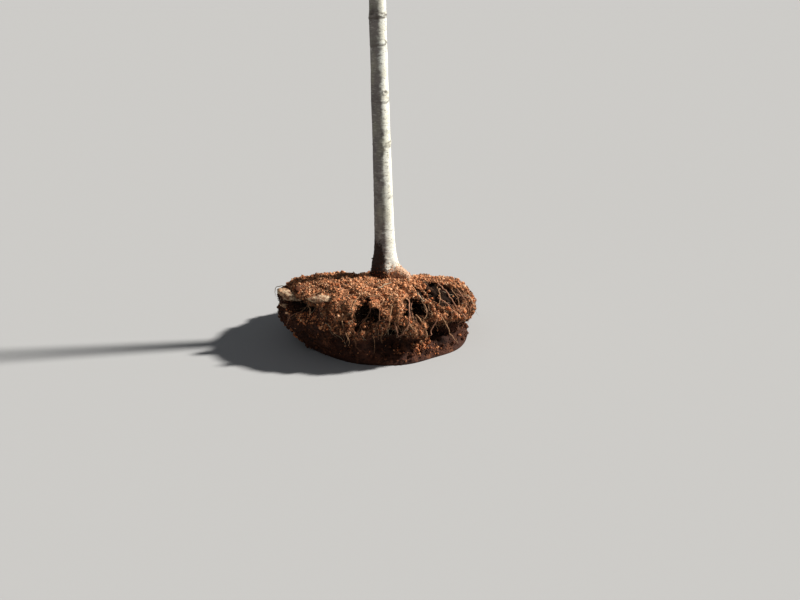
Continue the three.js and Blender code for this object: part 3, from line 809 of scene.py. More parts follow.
@lru_cache
def core_grid():
    """The ball's fine surface: points, normals, and how much of it is crumbly root mat and how strongly
    painted shade darkens its recesses.

    The part's surface with ragged tears and edges, pushed along its normal: the mat stands in clods of two
    sizes over slow waves, with gaps between them, and the clay is nearly smooth."""
    angle, share = core_places()
    outline = round_axis(angle, ball_outline(angle), 0.0)
    plain = ball_point(angle, share)
    edge_stray = 0.016 * waves(outline, 0.034, 11, 3)
    stray = 0.007 * waves(plain, 0.03, 13, 2)
    points = ball_point(angle, share, stray, edge_stray)
    height = plain[..., 2]
    reach = reach_of(points)
    torn = tear_depth(angle, height, reach, stray)
    jagged = np.stack([waves(plain, 0.034, 14, 3), waves(plain, 0.034, 16, 3)])
    hollow = hollow_share(angle + 0.075 * jagged[0], height + 0.016 * jagged[1])
    hollow = hollow * smoothstep(reach, 0.17, 0.23)
    points[..., :2] *= (1 - HOLLOW_DEPTH * hollow / np.maximum(reach, 0.1))[..., None]
    worn = crumb_edge(angle) - mat_edge(angle)
    mat = 1 - bare_share(angle, height, worn + edge_stray)
    calm = 1 - 0.6 * np.clip(torn / 0.04, 0, 1)
    crust = smoothstep(reach, 0.06, 0.14) * smoothstep(height, 0.0, 0.035) * calm
    relief = 0.005 * waves(points, 0.075, 3, 3) * crust
    steep = 1 - 0.55 * smoothstep(0.34 - share, 0, 0.1)
    front = smoothstep(share, 0.28, 0.42)
    gaps = smoothstep(waves(points, 0.026, 19, 2), -0.15, -0.75)
    pits = smoothstep(waves(points, 0.012, 29, 2), -0.25, -0.85)
    gaps = np.maximum(gaps, 0.8 * pits) * mat * crust * front
    big = clods(points, 0.03, 5)
    coarse = (0.0095 + 0.0035 * front) * big + (0.005 + 0.003 * front) * clods(points, 0.0125, 8)
    relief = relief + mat * crust * steep * (coarse - 0.0105 - 0.0025 * front) - 0.02 * gaps
    cracks = 1 - smoothstep(np.abs(waves(points * [1, 1, 0.7], 0.062, 27, 2)), 0.0, 0.09)
    clay = 0.0042 * waves(points * [1, 1, 1.5], 0.07, 17, 2) + 0.005 * (clods(points, 0.052, 33) - 0.6)
    clay = clay + 0.0014 * waves(points, 0.01, 35, 2) - 0.0034 * cracks
    relief = relief + (1 - mat) * crust * clay
    points = points + grid_normals(points) * relief[..., None]
    near_foot = smoothstep(0.2 - reach, 0, 0.05) * (share < 0.3)
    points[..., 2] += 0.004 * waves(points, 0.022, 23, 2) * near_foot
    points[..., 2] = np.where(share > SIDE_SHARE, 0.0, np.maximum(points[..., 2], 0.0))
    # Painted shade: near black in the hollows and open tears, darker in the gaps, between clods and in the
    # clay's cracks.
    crevices = (1 - smoothstep(big, 0.36, 0.62)) * mat * crust * (0.45 + 0.55 * front)
    open_torn = torn * (1 - 0.5 * smoothstep(np.sin(angle), 0, 0.5))
    pitted = np.maximum(mix(0.5, 1, mat) * smoothstep(open_torn, 0.012, 0.03), hollow)
    recess_shade = np.max([pitted, 0.9 * gaps, 0.62 * crevices, 0.55 * cracks * (1 - mat) * crust], axis=0)
    return points, grid_normals(points), mat, recess_shade


def on_grid(values, row, column):
    """Values of the core's grid between its points."""
    top = np.clip(np.floor(row).astype(int), 0, values.shape[0] - 2)
    left = np.floor(column).astype(int)
    down, over = (row - top)[..., None], (column - left)[..., None]
    left = left % values.shape[1]
    right = (left + 1) % values.shape[1]
    if values.ndim == 2:
        values = values[..., None]
    upper = values[top, left] * (1 - over) + values[top, right] * over
    lower = values[top + 1, left] * (1 - over) + values[top + 1, right] * over
    return upper * (1 - down) + lower * down


def cell_sizes():
    """How wide round and how tall down the core's cells are."""
    points = core_grid()[0]
    wide = np.linalg.norm(np.roll(points, -1, axis=1) - points, axis=-1)
    tall = np.linalg.norm(np.diff(points, axis=0, append=points[-1:]), axis=-1)
    return wide, tall


def scatter(count, weight, rng):
    """Random places (row, column) on the core, by area times weight."""
    wide, tall = cell_sizes()
    share = np.cumsum((wide * tall * weight)[:-1].ravel())
    picked = np.searchsorted(share, rng.random(count) * share[-1])
    row, column = np.divmod(picked, wide.shape[1])
    return row + rng.random(count), column + rng.random(count)


def walk(row, column, heading, steps, step, waver, pull, rng):
    """Paths over the core's surface from places on it. A heading of 0 runs down it, and 90 degrees round it.

    The heading wavers at each step and is pulled back towards straight down."""
    wide, tall = cell_sizes()
    rows, columns = [row], [column]
    for _ in range(steps):
        heading = (heading + waver * rng.normal(size=heading.shape)) * (1 - pull)
        here = [np.maximum(on_grid(size, row, column)[..., 0], SMALLEST_CELL) for size in (tall, wide)]
        row = np.clip(row + step * np.cos(heading) / here[0], FIRST_WALKED, len(tall) - AFTER_WALKED)
        column = column + step * np.sin(heading) / here[1]
        rows.append(row)
        columns.append(column)
    return np.stack(rows, axis=1), np.stack(columns, axis=1)


def over_surface(rows, columns, lift, slack):
    """Lines over the core along paths on it, lifted off it, drawn straight over hollows so many times.

    Where the drawing sinks a line under the lift, it is pushed back out along the surface's normal."""
    points, normals = core_grid()[:2]
    ground, outward = on_grid(points, rows, columns), on_grid(normals, rows, columns)
    lines = ground + outward * lift
    for _ in range(slack):
        lines[:, 1:-1] = (lines[:, :-2] + 2 * lines[:, 1:-1] + lines[:, 2:]) / 4
    sunk = (lift[..., 0] if lift.ndim == 3 else lift) - ((lines - ground) * outward).sum(-1)
    lines = lines + outward * np.maximum(sunk, 0)[..., None]
    lines[..., 2] = np.maximum(lines[..., 2], LOWEST_ROOT)
    return lines


# Node trees


def add(tree, kind, inputs=None, **settings):
    """A node with its settings, and its inputs by name or number: a value, or another node's output."""
    made = tree.nodes.new(kind)
    for key, value in settings.items():
        setattr(made, key, value)
    for key, value in (inputs or {}).items():
        if isinstance(value, bpy.types.NodeSocket):
            tree.links.new(value, made.inputs[key])
        else:
            made.inputs[key].default_value = value
    return made


def noise(tree, vector, scale, detail=4.0, roughness=0.6):
    """Output of a noise texture."""
    inputs = {"Vector": vector, "Scale": scale, "Detail": detail, "Roughness": roughness}
    return add(tree, "ShaderNodeTexNoise", inputs).outputs["Fac"]


def ranged(tree, value, low, high, to_low=0.0, to_high=1.0):
    """A value's range brought to another, clamped and smooth."""
    inputs = {"Value": value, "From Min": low, "From Max": high, "To Min": to_low, "To Max": to_high}
    return add(tree, "ShaderNodeMapRange", inputs, interpolation_type="SMOOTHSTEP").outputs["Result"]


def maths(tree, operation, a, b):
    """Output of a Math node."""
    return add(tree, "ShaderNodeMath", {0: a, 1: b}, operation=operation).outputs[0]


def times(tree, a, b):
    """a * b."""
    return maths(tree, "MULTIPLY", a, b)


def plus(tree, a, b, share):
    """a + b * share."""
    return maths(tree, "ADD", a, times(tree, b, share))


def blend(tree, share, a, b):
    """Output of a colour mix."""
    return add(tree, "ShaderNodeMix", {0: share, 6: a, 7: b}, data_type="RGBA").outputs[2]


def tinted(tree, colour, mask, strength, tone):
    """A colour with a tone over it, by a mask times a strength."""
    return blend(tree, times(tree, mask, strength), colour, rgba(tone))


def squeezed(tree, vector, share):
    """A vector with its height scaled by a share."""
    return add(tree, "ShaderNodeMapping", {"Vector": vector, "Scale": (1, 1, share)}).outputs["Vector"]


def new_group(name, takes):
    """An empty node group, and what it takes in: a vector, and each other input by its default."""
    tree = bpy.data.node_groups.new(name, "ShaderNodeTree")
    tree.interface.new_socket("Vector", in_out="INPUT", socket_type="NodeSocketVector")
    for label, default in takes.items():
        kind = "Float" if isinstance(default, float) else "Color"
        socket = tree.interface.new_socket(label, in_out="INPUT", socket_type="NodeSocket" + kind)
        socket.default_value = default
    return tree, add(tree, "NodeGroupInput").outputs


def gives(tree, outputs):
    """The node group, with what it gives out."""
    for label, output in outputs.items():
        kind = "Color" if output.type == "RGBA" else "Float"
        tree.interface.new_socket(label, in_out="OUTPUT", socket_type="NodeSocket" + kind)
    add(tree, "NodeGroupOutput", outputs)
    return tree


@lru_cache
def mottle_group():
    """Two colours in soft patches, with a finer speckle of the second."""
    tones = {"First": (0.5, 0.5, 0.5, 1), "Second": (0.2, 0.2, 0.2, 1)}
    tree, takes = new_group("Mottle", {"Patch Scale": 20.0, "Speckle Scale": 120.0} | tones)
    patches = ranged(tree, noise(tree, takes["Vector"], takes["Patch Scale"]), 0.36, 0.64)
    speckle = ranged(tree, noise(tree, takes["Vector"], takes["Speckle Scale"], 3.0), 0.5, 0.68)
    share = maths(tree, "MAXIMUM", patches, times(tree, speckle, 0.75))
    colour = blend(tree, share, takes["First"], takes["Second"])
    return gives(tree, {"Color": colour, "Patches": patches})


@lru_cache
def grain_group():
    """A height made of coarse and fine grain, for a Bump node."""
    tree, takes = new_group("Grain", {"Coarse Scale": 60.0, "Fine Scale": 300.0, "Fine Share": 0.4})
    coarse = noise(tree, takes["Vector"], takes["Coarse Scale"], 5.0)
    fine = noise(tree, takes["Vector"], takes["Fine Scale"], 3.0)
    return gives(tree, {"Height": plus(tree, coarse, fine, takes["Fine Share"])})


@lru_cache
def lenticel_group():
    """Short breathing pores in the bark, in lines across the limb: a mask that is 1 on a pore."""
    tree, takes = new_group("Lenticels", {"Rows": 150.0, "Length": 45.0, "Cover": 0.5})
    parts = add(tree, "ShaderNodeSeparateXYZ", {0: takes["Vector"]}).outputs
    scales = ("Length", "Length", "Rows")
    scaled = {i: times(tree, parts[i], takes[scale]) for i, scale in enumerate(scales)}
    lines = noise(tree, add(tree, "ShaderNodeCombineXYZ", scaled).outputs[0], 1.0, 2.0, 0.5)
    edge = maths(tree, "SUBTRACT", 0.8, times(tree, takes["Cover"], 0.25))
    mask = ranged(tree, maths(tree, "SUBTRACT", lines, edge), 0.0, 0.05)
    return gives(tree, {"Mask": mask, "Lines": lines})


def grouped(tree, group, inputs):
    """A shared effect placed in a material."""
    return add(tree, "ShaderNodeGroup", inputs, node_tree=group).outputs


def mottled(tree, vector, patch, speckle, first, second):
    """Two colours in patches, by the scales of patches and speckle."""
    inputs = {"Vector": vector, "Patch Scale": patch, "Speckle Scale": speckle}
    return grouped(tree, mottle_group(), inputs | {"First": rgba(first), "Second": rgba(second)})


def grained(tree, vector, coarse, fine, share=0.4):
    """A height of coarse and fine grain."""
    inputs = {"Vector": vector, "Coarse Scale": coarse, "Fine Scale": fine, "Fine Share": share}
    return grouped(tree, grain_group(), inputs)["Height"]


def pored(tree, vector, rows, length, cover):
    """A mask and lines of pores, by the scales down and across."""
    return grouped(tree, lenticel_group(), {"Vector": vector, "Rows": rows, "Length": length, "Cover": cover})


def new_finish(name, roughness, specular):
    """A material, and its tree."""
    finish = bpy.data.materials.new(name)
    finish.use_nodes = True
    shader = finish.node_tree.nodes["Principled BSDF"]
    shader.inputs["Roughness"].default_value = roughness
    shader.inputs["Specular IOR Level"].default_value = specular
    return finish, finish.node_tree


def dressed(finish, colour, height, distance, rough=None):
    """The finish with its colour, its height through a Bump node in metres, and its roughness."""
    tree = finish.node_tree
    bump = add(tree, "ShaderNodeBump", {"Height": height, "Distance": distance, "Strength": 1.0})
    fed = {"Base Color": colour, "Normal": bump.outputs["Normal"], "Roughness": rough}
    for name, output in fed.items():
        if output is not None:
            tree.links.new(output, tree.nodes["Principled BSDF"].inputs[name])
    return finish


def object_place(tree):
    """Object coordinates."""
    return add(tree, "ShaderNodeTexCoord").outputs["Object"]


def named_value(tree, name, output="Fac"):
    """A mesh attribute."""
    return add(tree, "ShaderNodeAttribute", attribute_name=name).outputs[output]


def rgba(colour):
    """A colour with full alpha."""
    return (*colour, 1.0)


# Finishes


def trunk_finish(look):
    """Pale smooth bark: cream and grey patches, the sunless side painted grey as shade, ripples and lines of
    pores across it, soil on the foot.
    """
    finish, tree = new_finish("Trunk bark", 0.72, 0.25)
    place = object_place(tree)
    shade_and_grime = named_value(tree, "shade_and_grime")
    stretched = squeezed(tree, place, 1.6)
    clean = mottled(tree, stretched, 19.0, 260.0, look.bark_light, look.bark_cream)["Color"]
    grey = mottled(tree, stretched, 30.0, 260.0, look.bark_grey_and_shade, look.bark_shade)["Color"]
    patches = noise(tree, stretched, 24.0, 5.0, 0.65)
    # Painted shade: the sunless side turns grey, with greyer patches at random.
    grey_or_shade = plus(tree, times(tree, shade_and_grime, 0.75), patches, 1.1)
    colour = blend(tree, ranged(tree, grey_or_shade, 0.66, 0.98), clean, grey)
    zones = ranged(tree, noise(tree, squeezed(tree, place, 1.4), 8.0, 2.0), 0.36, 0.58)
    ripple = plus(tree, noise(tree, squeezed(tree, place, 3.6), 62.0, 5.0, 0.7), shade_and_grime, 0.09)
    ripple = times(tree, ranged(tree, ripple, 0.54, 0.66), ranged(tree, zones, 0.0, 1.0, 0.34, 0.84))
    colour = blend(tree, ripple, colour, rgba(look.bark_dark))
    pale = ranged(tree, noise(tree, squeezed(tree, place, 7.0), 40.0), 0.54, 0.64)
    colour = tinted(tree, colour, times(tree, pale, shade_and_grime), 0.36, look.bark_cream)
    flecks = ranged(tree, noise(tree, stretched, 140.0, 5.0, 0.75), 0.57, 0.64)
    colour = tinted(tree, colour, flecks, 0.82, look.bark_pore)
    green = ranged(tree, noise(tree, squeezed(tree, place, 0.5), 9.0, 3.0), 0.5, 0.75)
    colour = tinted(tree, colour, green, 0.4, look.bark_green)
    pores = pored(tree, place, 240.0, 60.0, 0.5)
    colour = tinted(tree, colour, pores["Mask"], 0.6, look.bark_pore)
    colour = blend(tree, named_value(tree, "scar"), colour, rgba(look.bark_scar))
    specks = noise(tree, place, 105.0, 8.0, 0.85)
    # The soil on the foot is near black: soil, and painted shade on the sunless left.
    for name, tone, spread in (("blush", look.blush, 3.6), ("soil_stain_and_shade", look.soil_stain_and_shade, 3.0)):
        mark = plus(tree, named_value(tree, name), specks, spread)
        mark = ranged(tree, mark, 0.4 + spread * 0.5, 0.75 + spread * 0.5)
        colour = tinted(tree, colour, mark, 0.92, tone)
    rough = plus(tree, 0.62, maths(tree, "MAXIMUM", mark, pores["Mask"]), 0.3)
    relief = plus(tree, grained(tree, place, 90.0, 620.0), pores["Mask"], 1.2)
    relief = plus(tree, relief, pores["Lines"], 0.5)
    relief = plus(tree, relief, times(tree, mark, specks), 5.0)
    return dressed(finish, colour, relief, 0.0009, rough)


def limb_finish(look, old_look):
    """Smooth bark of new growth on the straightened limb, with pores across it. It begins as pale as the
    trunk's, but on the trunk's sunless side it takes the darker limb colours as painted shade.
    """
    finish, tree = new_finish("Limb bark", 0.6, 0.3)
    straight = named_value(tree, "straight", "Vector")
    ground = mottled(tree, straight, 26.0, 300.0, look.limb_light, look.limb_dark)
    old = mottled(tree, straight, 26.0, 300.0, old_look.bark_light, old_look.bark_cream)
    young_or_shaded = plus(tree, named_value(tree, "young_or_shaded"), ground["Patches"], 0.4)
    colour = blend(tree, ranged(tree, young_or_shaded, 0.2, 1.2), old["Color"], ground["Color"])
    pores = pored(tree, straight, 190.0, 60.0, 0.55)
    colour = tinted(tree, colour, pores["Mask"], 0.8, look.twig_dark)
    rough = ranged(tree, ground["Patches"], 0.0, 1.0, 0.52, 0.72)
    relief = maths(tree, "ADD", grained(tree, straight, 160.0, 900.0), pores["Mask"])
    return dressed(finish, colour, relief, 0.0005, rough)


def core_finish(look):
    """Tan crumbly root mat over dark moist clay, redder in patches, near black in its hollows as painted
    shade.
    """
    finish, tree = new_finish("Soil", 0.95, 0.15)
    place = object_place(tree)
    mat = mottled(tree, place, 24.0, 190.0, look.soil_light, look.soil_dark)["Color"]
    red = ranged(tree, noise(tree, place, 15.0, 4.0), 0.54, 0.7)
    mat = tinted(tree, mat, red, 0.55, look.soil_red)
    clay = mottled(tree, squeezed(tree, place, 2.5), 14.0, 120.0, look.clay_dark, look.clay_red)["Color"]
    smears = ranged(tree, noise(tree, squeezed(tree, place, 0.6), 22.0, 5.0, 0.65), 0.55, 0.72)
    clay = tinted(tree, clay, smears, 0.5, look.soil_mid)
    colour = blend(tree, named_value(tree, "mat"), clay, mat)
    pits = ranged(tree, noise(tree, place, 150.0, 5.0, 0.7), 0.47, 0.37)
    colour = tinted(tree, colour, pits, 0.8, look.soil_recess_shade)
    # Painted shade: the recesses turn near black.
    colour = tinted(tree, colour, named_value(tree, "recess_shade"), 0.97, look.soil_recess_shade)
    rough = ranged(tree, named_value(tree, "mat"), 0.0, 1.0, 0.78, 0.97)
    return dressed(finish, colour, grained(tree, place, 130.0, 520.0, 0.6), 0.005, rough)


def plain_finish(name, colour, roughness, scale, bump):
    """A tone of many small pieces, dulled by fine dirt, with a fine grain."""
    finish, tree = new_finish(name, roughness, 0.12)
    place = object_place(tree)
    dust = ranged(tree, noise(tree, place, scale * 0.7, 4.0, 0.7), 0.38, 0.56)
    dirty = [0.48 * part for part in colour]
    colour = blend(tree, dust, rgba(dirty), rgba(colour))
    return dressed(finish, colour, grained(tree, place, scale, scale * 3), bump)


def tone_finishes(look, tones, *values):
    """A plain finish for each tone, by its name and its setting."""
    return [plain_finish(name, getattr(look, key), *values) for name, key in tones.items()]


def cut_face_finish(look):
    """The sawn end of a root: pale wood with faint rings and soil rubbed in."""
    finish, tree = new_finish("Cut wood", 0.8, 0.25)
    straight = named_value(tree, "straight", "Vector")
    inputs = {"Vector": squeezed(tree, straight, 0), "Scale": 260.0, "Distortion": 2.0, "Detail": 2.0}
    rings = add(tree, "ShaderNodeTexWave", inputs, wave_type="RINGS", rings_direction="Z").outputs["Fac"]
    colour = tinted(tree, rgba(look.cut_light), rings, 0.5, look.cut_ring)
    dirt = ranged(tree, noise(tree, object_place(tree), 160.0, 6.0, 0.7), 0.48, 0.66)
    colour = tinted(tree, colour, dirt, 0.75, look.soil_mid)
    return dressed(finish, colour, noise(tree, straight, 700.0), 0.0006)


def root_bark_finish(look):
    """The bark of the thick cut roots: pale tan and wrinkled, with soil in its creases."""
    finish, tree = new_finish("Root bark", 0.85, 0.2)
    straight = named_value(tree, "straight", "Vector")
    colour = mottled(tree, squeezed(tree, straight, 0.4), 70.0, 420.0, look.root_pale, look.root_tan)["Color"]
    dirt = ranged(tree, noise(tree, object_place(tree), 75.0, 8.0, 0.8), 0.47, 0.56)
    colour = tinted(tree, colour, dirt, 0.9, look.soil_dark)
    return dressed(finish, colour, grained(tree, squeezed(tree, straight, 0.35), 240.0, 900.0), 0.0016)


# Settings


def colour_setting(name, default, description):
    """A colour to change."""
    return FloatVectorProperty(
        name=name, description=description, default=default, size=3, min=0, max=1, subtype="COLOR"
    )


def count_setting(name, default, low, description):
    """A number to change."""
    return IntProperty(name=name, description=description, default=default, min=low)


def length_setting(name, default, description):
    """A length to change."""
    return FloatProperty(name=name, description=description, default=default, unit="LENGTH")


class SaplingBall(PropertyGroup):
    grains: count_setting("Grains", 24000, 100, "Finest grains of soil")
    crumbs: count_setting("Crumbs", 9600, 100, "Crumbs of soil")
    clods: count_setting("Clods", 90, 10, "Largest lumps of soil")
    crumb_size: length_setting("Crumb size", 0.003, "Middle radius of a crumb")
    hung_crumbs: count_setting("Hung crumbs", 1500, 10, "Crumbs caught in the tufts")
    foot_crumbs: count_setting("Foot crumbs", 1500, 10, "Crumbs on the trunk's foot")
    fibres: count_setting("Fibres", 2600, 10, "Fine roots matted over the soil, in each of two pieces")
    tufts: count_setting("Tufts", 120, 10, "Tufts of fine root that hang at the torn edge")
    hairs: count_setting("Hairs", 260, 10, "Fine roots that stand free of the torn side")
    roots: count_setting("Roots", 60, 5, "Roots that run over the shoulder and hang")
    # Crumb tones. The palest lie most on faces turned up, as dry soil and painted light; the dark one also
    # paints shade at the torn edge and on the foot's left.
    soil_pale: colour_setting("Pale soil", (0.86, 0.5, 0.29), "Driest crumbs")
    soil_light: colour_setting("Light soil", (0.73, 0.325, 0.155), "Dry crumbs on top")
    soil_mid: colour_setting("Soil", (0.41, 0.155, 0.07), "Most of the soil")
    soil_dark: colour_setting("Dark soil", (0.11, 0.04, 0.021), "Moist crumbs")
    soil_red: colour_setting("Red soil", (0.64, 0.205, 0.082), "Patches of red clay")
    # Near black: painted shade in the recesses, over moist soil.
    soil_recess_shade: colour_setting("Deep soil", (0.007, 0.004, 0.003), "Moist soil deep in the hollows")
    clay_dark: colour_setting("Dark clay", (0.04, 0.017, 0.012), "Smooth clay low on the sides")
    clay_red: colour_setting("Red clay", (0.08, 0.028, 0.016), "Redder patches in the clay")
    root_pale: colour_setting("Pale root", (0.56, 0.43, 0.29), "Driest roots, and the thick cut ones")
    root_tan: colour_setting("Tan root", (0.42, 0.235, 0.13), "Most of the roots")
    root_pink: colour_setting("Pink root", (0.45, 0.225, 0.14), "Live roots")
    root_brown: colour_setting("Brown root", (0.175, 0.083, 0.045), "Older and dirtier roots")
    cut_light: colour_setting("Cut wood", (0.7, 0.54, 0.34), "Sawn end of a root")
    cut_ring: colour_setting("Cut ring", (0.43, 0.28, 0.15), "Rings in the sawn end")


class SaplingTrunk(PropertyGroup):
    rows: count_setting("Rows", 840, 60, "Rings of the trunk's mesh")
    columns: count_setting("Columns", 104, 16, "Points round the trunk's mesh")
    relief: FloatProperty(name="Relief", description="Strength of the relief", default=1.0, min=0, max=2)
    bark_light: colour_setting("Light bark", (0.82, 0.83, 0.76), "Palest bark")
    bark_cream: colour_setting("Cream bark", (0.7, 0.69, 0.59), "Creamier patches")
    # Grey bark and its darkest tone: greyer patches, and painted shade on the trunk's sunless side.
    bark_grey_and_shade: colour_setting("Grey bark", (0.215, 0.192, 0.177), "Greyer patches")
    bark_shade: colour_setting("Dull bark", (0.135, 0.12, 0.112), "Darkest of the grey patches")
    bark_dark: colour_setting("Rippled bark", (0.15, 0.132, 0.122), "Grey ripples across the trunk")
    bark_green: colour_setting("Green bark", (0.48, 0.49, 0.32), "Faint green film")
    bark_pore: colour_setting("Pores", (0.2, 0.165, 0.135), "Breathing pores")
    bark_scar: colour_setting("Scars", (0.085, 0.07, 0.058), "Rings and branch scars")
    blush: colour_setting("Foot bark", (0.47, 0.275, 0.165), "Tan root bark at the foot")
    # Near black: soil on the foot, and painted shade on its sunless left.
    soil_stain_and_shade: colour_setting("Soil on bark", (0.03, 0.018, 0.013), "Moist soil that clings to the foot")


class SaplingCrown(PropertyGroup):
    limb_sides: count_setting("Limb sides", 22, 6, "Points round a limb")
    bud_length: length_setting("Bud length", 0.0062, "Length of an end bud")
    limb_light: colour_setting("Light limb bark", (0.42, 0.38, 0.31), "Young bark of the boughs")
    limb_dark: colour_setting("Dark limb bark", (0.27, 0.225, 0.18), "Greyer patches of the boughs")
    twig_light: colour_setting("Twig bark", (0.215, 0.135, 0.095), "Last years' growth")
    twig_grey: colour_setting("Grey twig bark", (0.225, 0.175, 0.14), "Weathered twigs")
    twig_dark: colour_setting("Dark twig bark", (0.12, 0.07, 0.052), "Darker side of the twigs")
    bud: colour_setting("Buds", (0.15, 0.05, 0.032), "Scales of the winter buds")
    bud_tip: colour_setting("Bud tips", (0.075, 0.03, 0.024), "Darker tips of the scales")


class SaplingStage(PropertyGroup):
    floor: colour_setting("Floor", (0.4, 0.404, 0.412), "Plain pale floor")
    backdrop: colour_setting("Backdrop", (0.612, 0.6, 0.58), "Plain surround behind the floor")
    sky: colour_setting("Surround", (0.9, 0.93, 0.97), "Soft light from all sides")
    key: FloatProperty(name="Key light", description="Strength of the light from the right", default=7.4)
    fill: FloatProperty(name="Surround light", description="Strength from all sides", default=0.12)
    camera_height: length_setting("Camera height", 1.278, "Eye above the floor")
    camera_back: length_setting("Camera distance", 3.1, "Eye before the trunk")
    camera_right: length_setting("Camera side", 0.058, "Eye right of the trunk")
    camera_dip: FloatProperty(
        name="Camera dip", description="Tilt below level", default=math.radians(20), subtype="ANGLE"
    )
    lens: FloatProperty(
        name="Lens", description="Focal length in millimetres", default=36.45, subtype="DISTANCE_CAMERA"
    )


# The root ball's pieces


def build_core(look):
    """The ball's body as one closed grid."""
    points, _, mat, recess_shade = core_grid()
    marks = (("mat", mat, [1, 0]), ("recess_shade", recess_shade, [0, 0]))
    piece = grid_piece("soil_ball", points, marks, core_finish(look), order=-1)
    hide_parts("root_ball")


def octahedron():
    """The points and faces of an octahedron."""
    points = np.concatenate([np.eye(3), -np.eye(3)])
    faces = [(0, 1, 2), (1, 3, 2), (3, 4, 2), (4, 0, 2), (1, 0, 5), (3, 1, 5), (4, 3, 5), (0, 4, 5)]
    return points, np.array(faces)


def icosahedron():
    """The points and faces of an icosahedron."""
    golden = (1 + 5**0.5) / 2
    points = [(a, b * golden, 0) for a in (-1, 1) for b in (1, -1)]
    points = np.array(points, float)
    points = np.concatenate([points, points[:, [2, 0, 1]], points[:, [1, 2, 0]]])
    apart = np.linalg.norm(points[:, None] - points, axis=-1)
    faces = []
    for a, b, c in ((a, b, c) for a in range(12) for b in range(a + 1, 12) for c in range(b + 1, 12)):
        if max(apart[a, b], apart[b, c], apart[a, c]) < 2.1:
            outward = np.cross(points[b] - points[a], points[c] - points[a]) @ points[a] > 0
            faces.append((a, b, c) if outward else (a, c, b))
    return unit(points), np.array(faces)


def finer(points, faces):
    """Each face cut in four, its new points pushed out."""
    edges = np.sort(faces[:, [[0, 1], [1, 2], [2, 0]]].reshape(-1, 2), axis=1)
    edges, which = np.unique(edges, axis=0, return_inverse=True)
    middles = which.reshape(-1, 3) + len(points)
    (a, b, c), (ab, bc, ca) = faces.T, middles.T
    cut = np.concatenate(
        [np.stack(f, axis=1) for f in ((a, ab, ca), (b, bc, ab), (c, ca, bc), (ab, bc, ca))]
    )
    return unit(np.concatenate([points, points[edges].mean(axis=1)])), cut


def random_turns(count, rng):
    """Rotation matrices from random unit quaternions."""
    w, x, y, z = unit(rng.normal(size=(count, 4))).T
    rows = (
        (1 - 2 * (y * y + z * z), 2 * (x * y - w * z), 2 * (x * z + w * y)),
        (2 * (x * y + w * z), 1 - 2 * (x * x + z * z), 2 * (y * z - w * x)),
        (2 * (x * z - w * y), 2 * (y * z + w * x), 1 - 2 * (x * x + y * y)),
    )
    return np.moveaxis(np.array(rows), -1, 0)


def crumb_weight():
    """Where crumbs lie: thick on the root mat, in clusters on the clay, none in the tears or underneath."""
    points, _, mat, recess_shade = core_grid()
    patchy = 0.3 + 0.7 * smoothstep(waves(points, 0.02, 41, 2), -0.35, 0.3)
    weight = mix(0.19 + 0.81 * cluster_share(points), patchy, mat) * (1 - np.clip(1.5 * recess_shade, 0, 0.985))
    return weight * (points[..., 2] > 0.012) * (reach_of(points) > 0.05)


def scattered_soil(name, count, size, shape, seed, finishes):
    """Crumbs scattered over the core."""
    rng = np.random.default_rng(seed)
    row, column = scatter(count, crumb_weight(), rng)
    points, normals = core_grid()[:2]
    place, outward = on_grid(points, row, column), unit(on_grid(normals, row, column))
    soil_piece(name, place, outward, size, shape, rng, finishes)


def soil_shares(place, outward):
    """The shares of the tones: paler on top, where the soil is dry and faces turned up get painted light,
    redder down the sides, and darker at the torn edge, where it is moist and in painted shade.
    """
    height = place[:, 2] + 0.05 * waves(place, 0.06, 43, 2)
    # Paler on top and on faces turned up: dry soil and painted light. Darker at the torn edge: moist soil and
    # painted shade.
    dry_or_lit = smoothstep(height, 0.17, 0.27) * smoothstep(outward[:, 2], -0.1, 0.7)
    over_edge = place[:, 2] - crumb_edge(bearing_of(place))
    moist_or_shaded = smoothstep(over_edge, -0.012, 0.0) * (1 - smoothstep(over_edge, 0.01, 0.045))
    shares = mix(mix(SIDE_TONES, TOP_TONES, dry_or_lit[:, None]), LOW_TONES, moist_or_shaded[:, None])
    stuck = smoothstep(-over_edge, 0.004, 0.016)
    return mix(shares, mix(CLAY_TONES, CLUSTER_TONES, cluster_share(place)[:, None]), stuck[:, None])


def soil_piece(name, place, outward, size, shape, rng, finishes, shares=None):
    """Crumbs at places: rough balls, squashed, turned and dented at random."""
    count = len(place)
    shape_points, shape_faces = shape
    radius = size * np.exp(rng.normal(0, 0.5, count)).clip(0.45, 2.6)
    dents = rng.uniform(0.6, 1.3, (count, len(shape_points), 1))
    squash = rng.uniform(0.5, 1.2, (count, 1, 3))
    rough = shape_points * dents * squash @ random_turns(count, rng)
    standing = 0.35 + 0.35 * smoothstep(0.25 - outward[:, 2], -0.4, 0.3)
    centre = place + outward * (radius * standing)[:, None]
    points = centre[:, None] + rough * radius[:, None, None]
    points[..., 2] = np.maximum(points[..., 2], 0.0005)
    faces = shape_faces + (np.arange(count) * len(shape_points))[:, None, None]
    shares = (soil_shares(place, outward) if shares is None else shares).cumsum(axis=1)
    dealt = (rng.random((count, 1)) > shares[:, :-1]).sum(axis=1)
    tones = np.repeat(dealt, len(shape_faces))
    points, no_quads, faces = points.reshape(-1, 3), np.zeros((0, 4), int), faces.reshape(-1, 3)
    piece = new_piece(name, points, no_quads, faces, finishes=finishes, tones=tones)


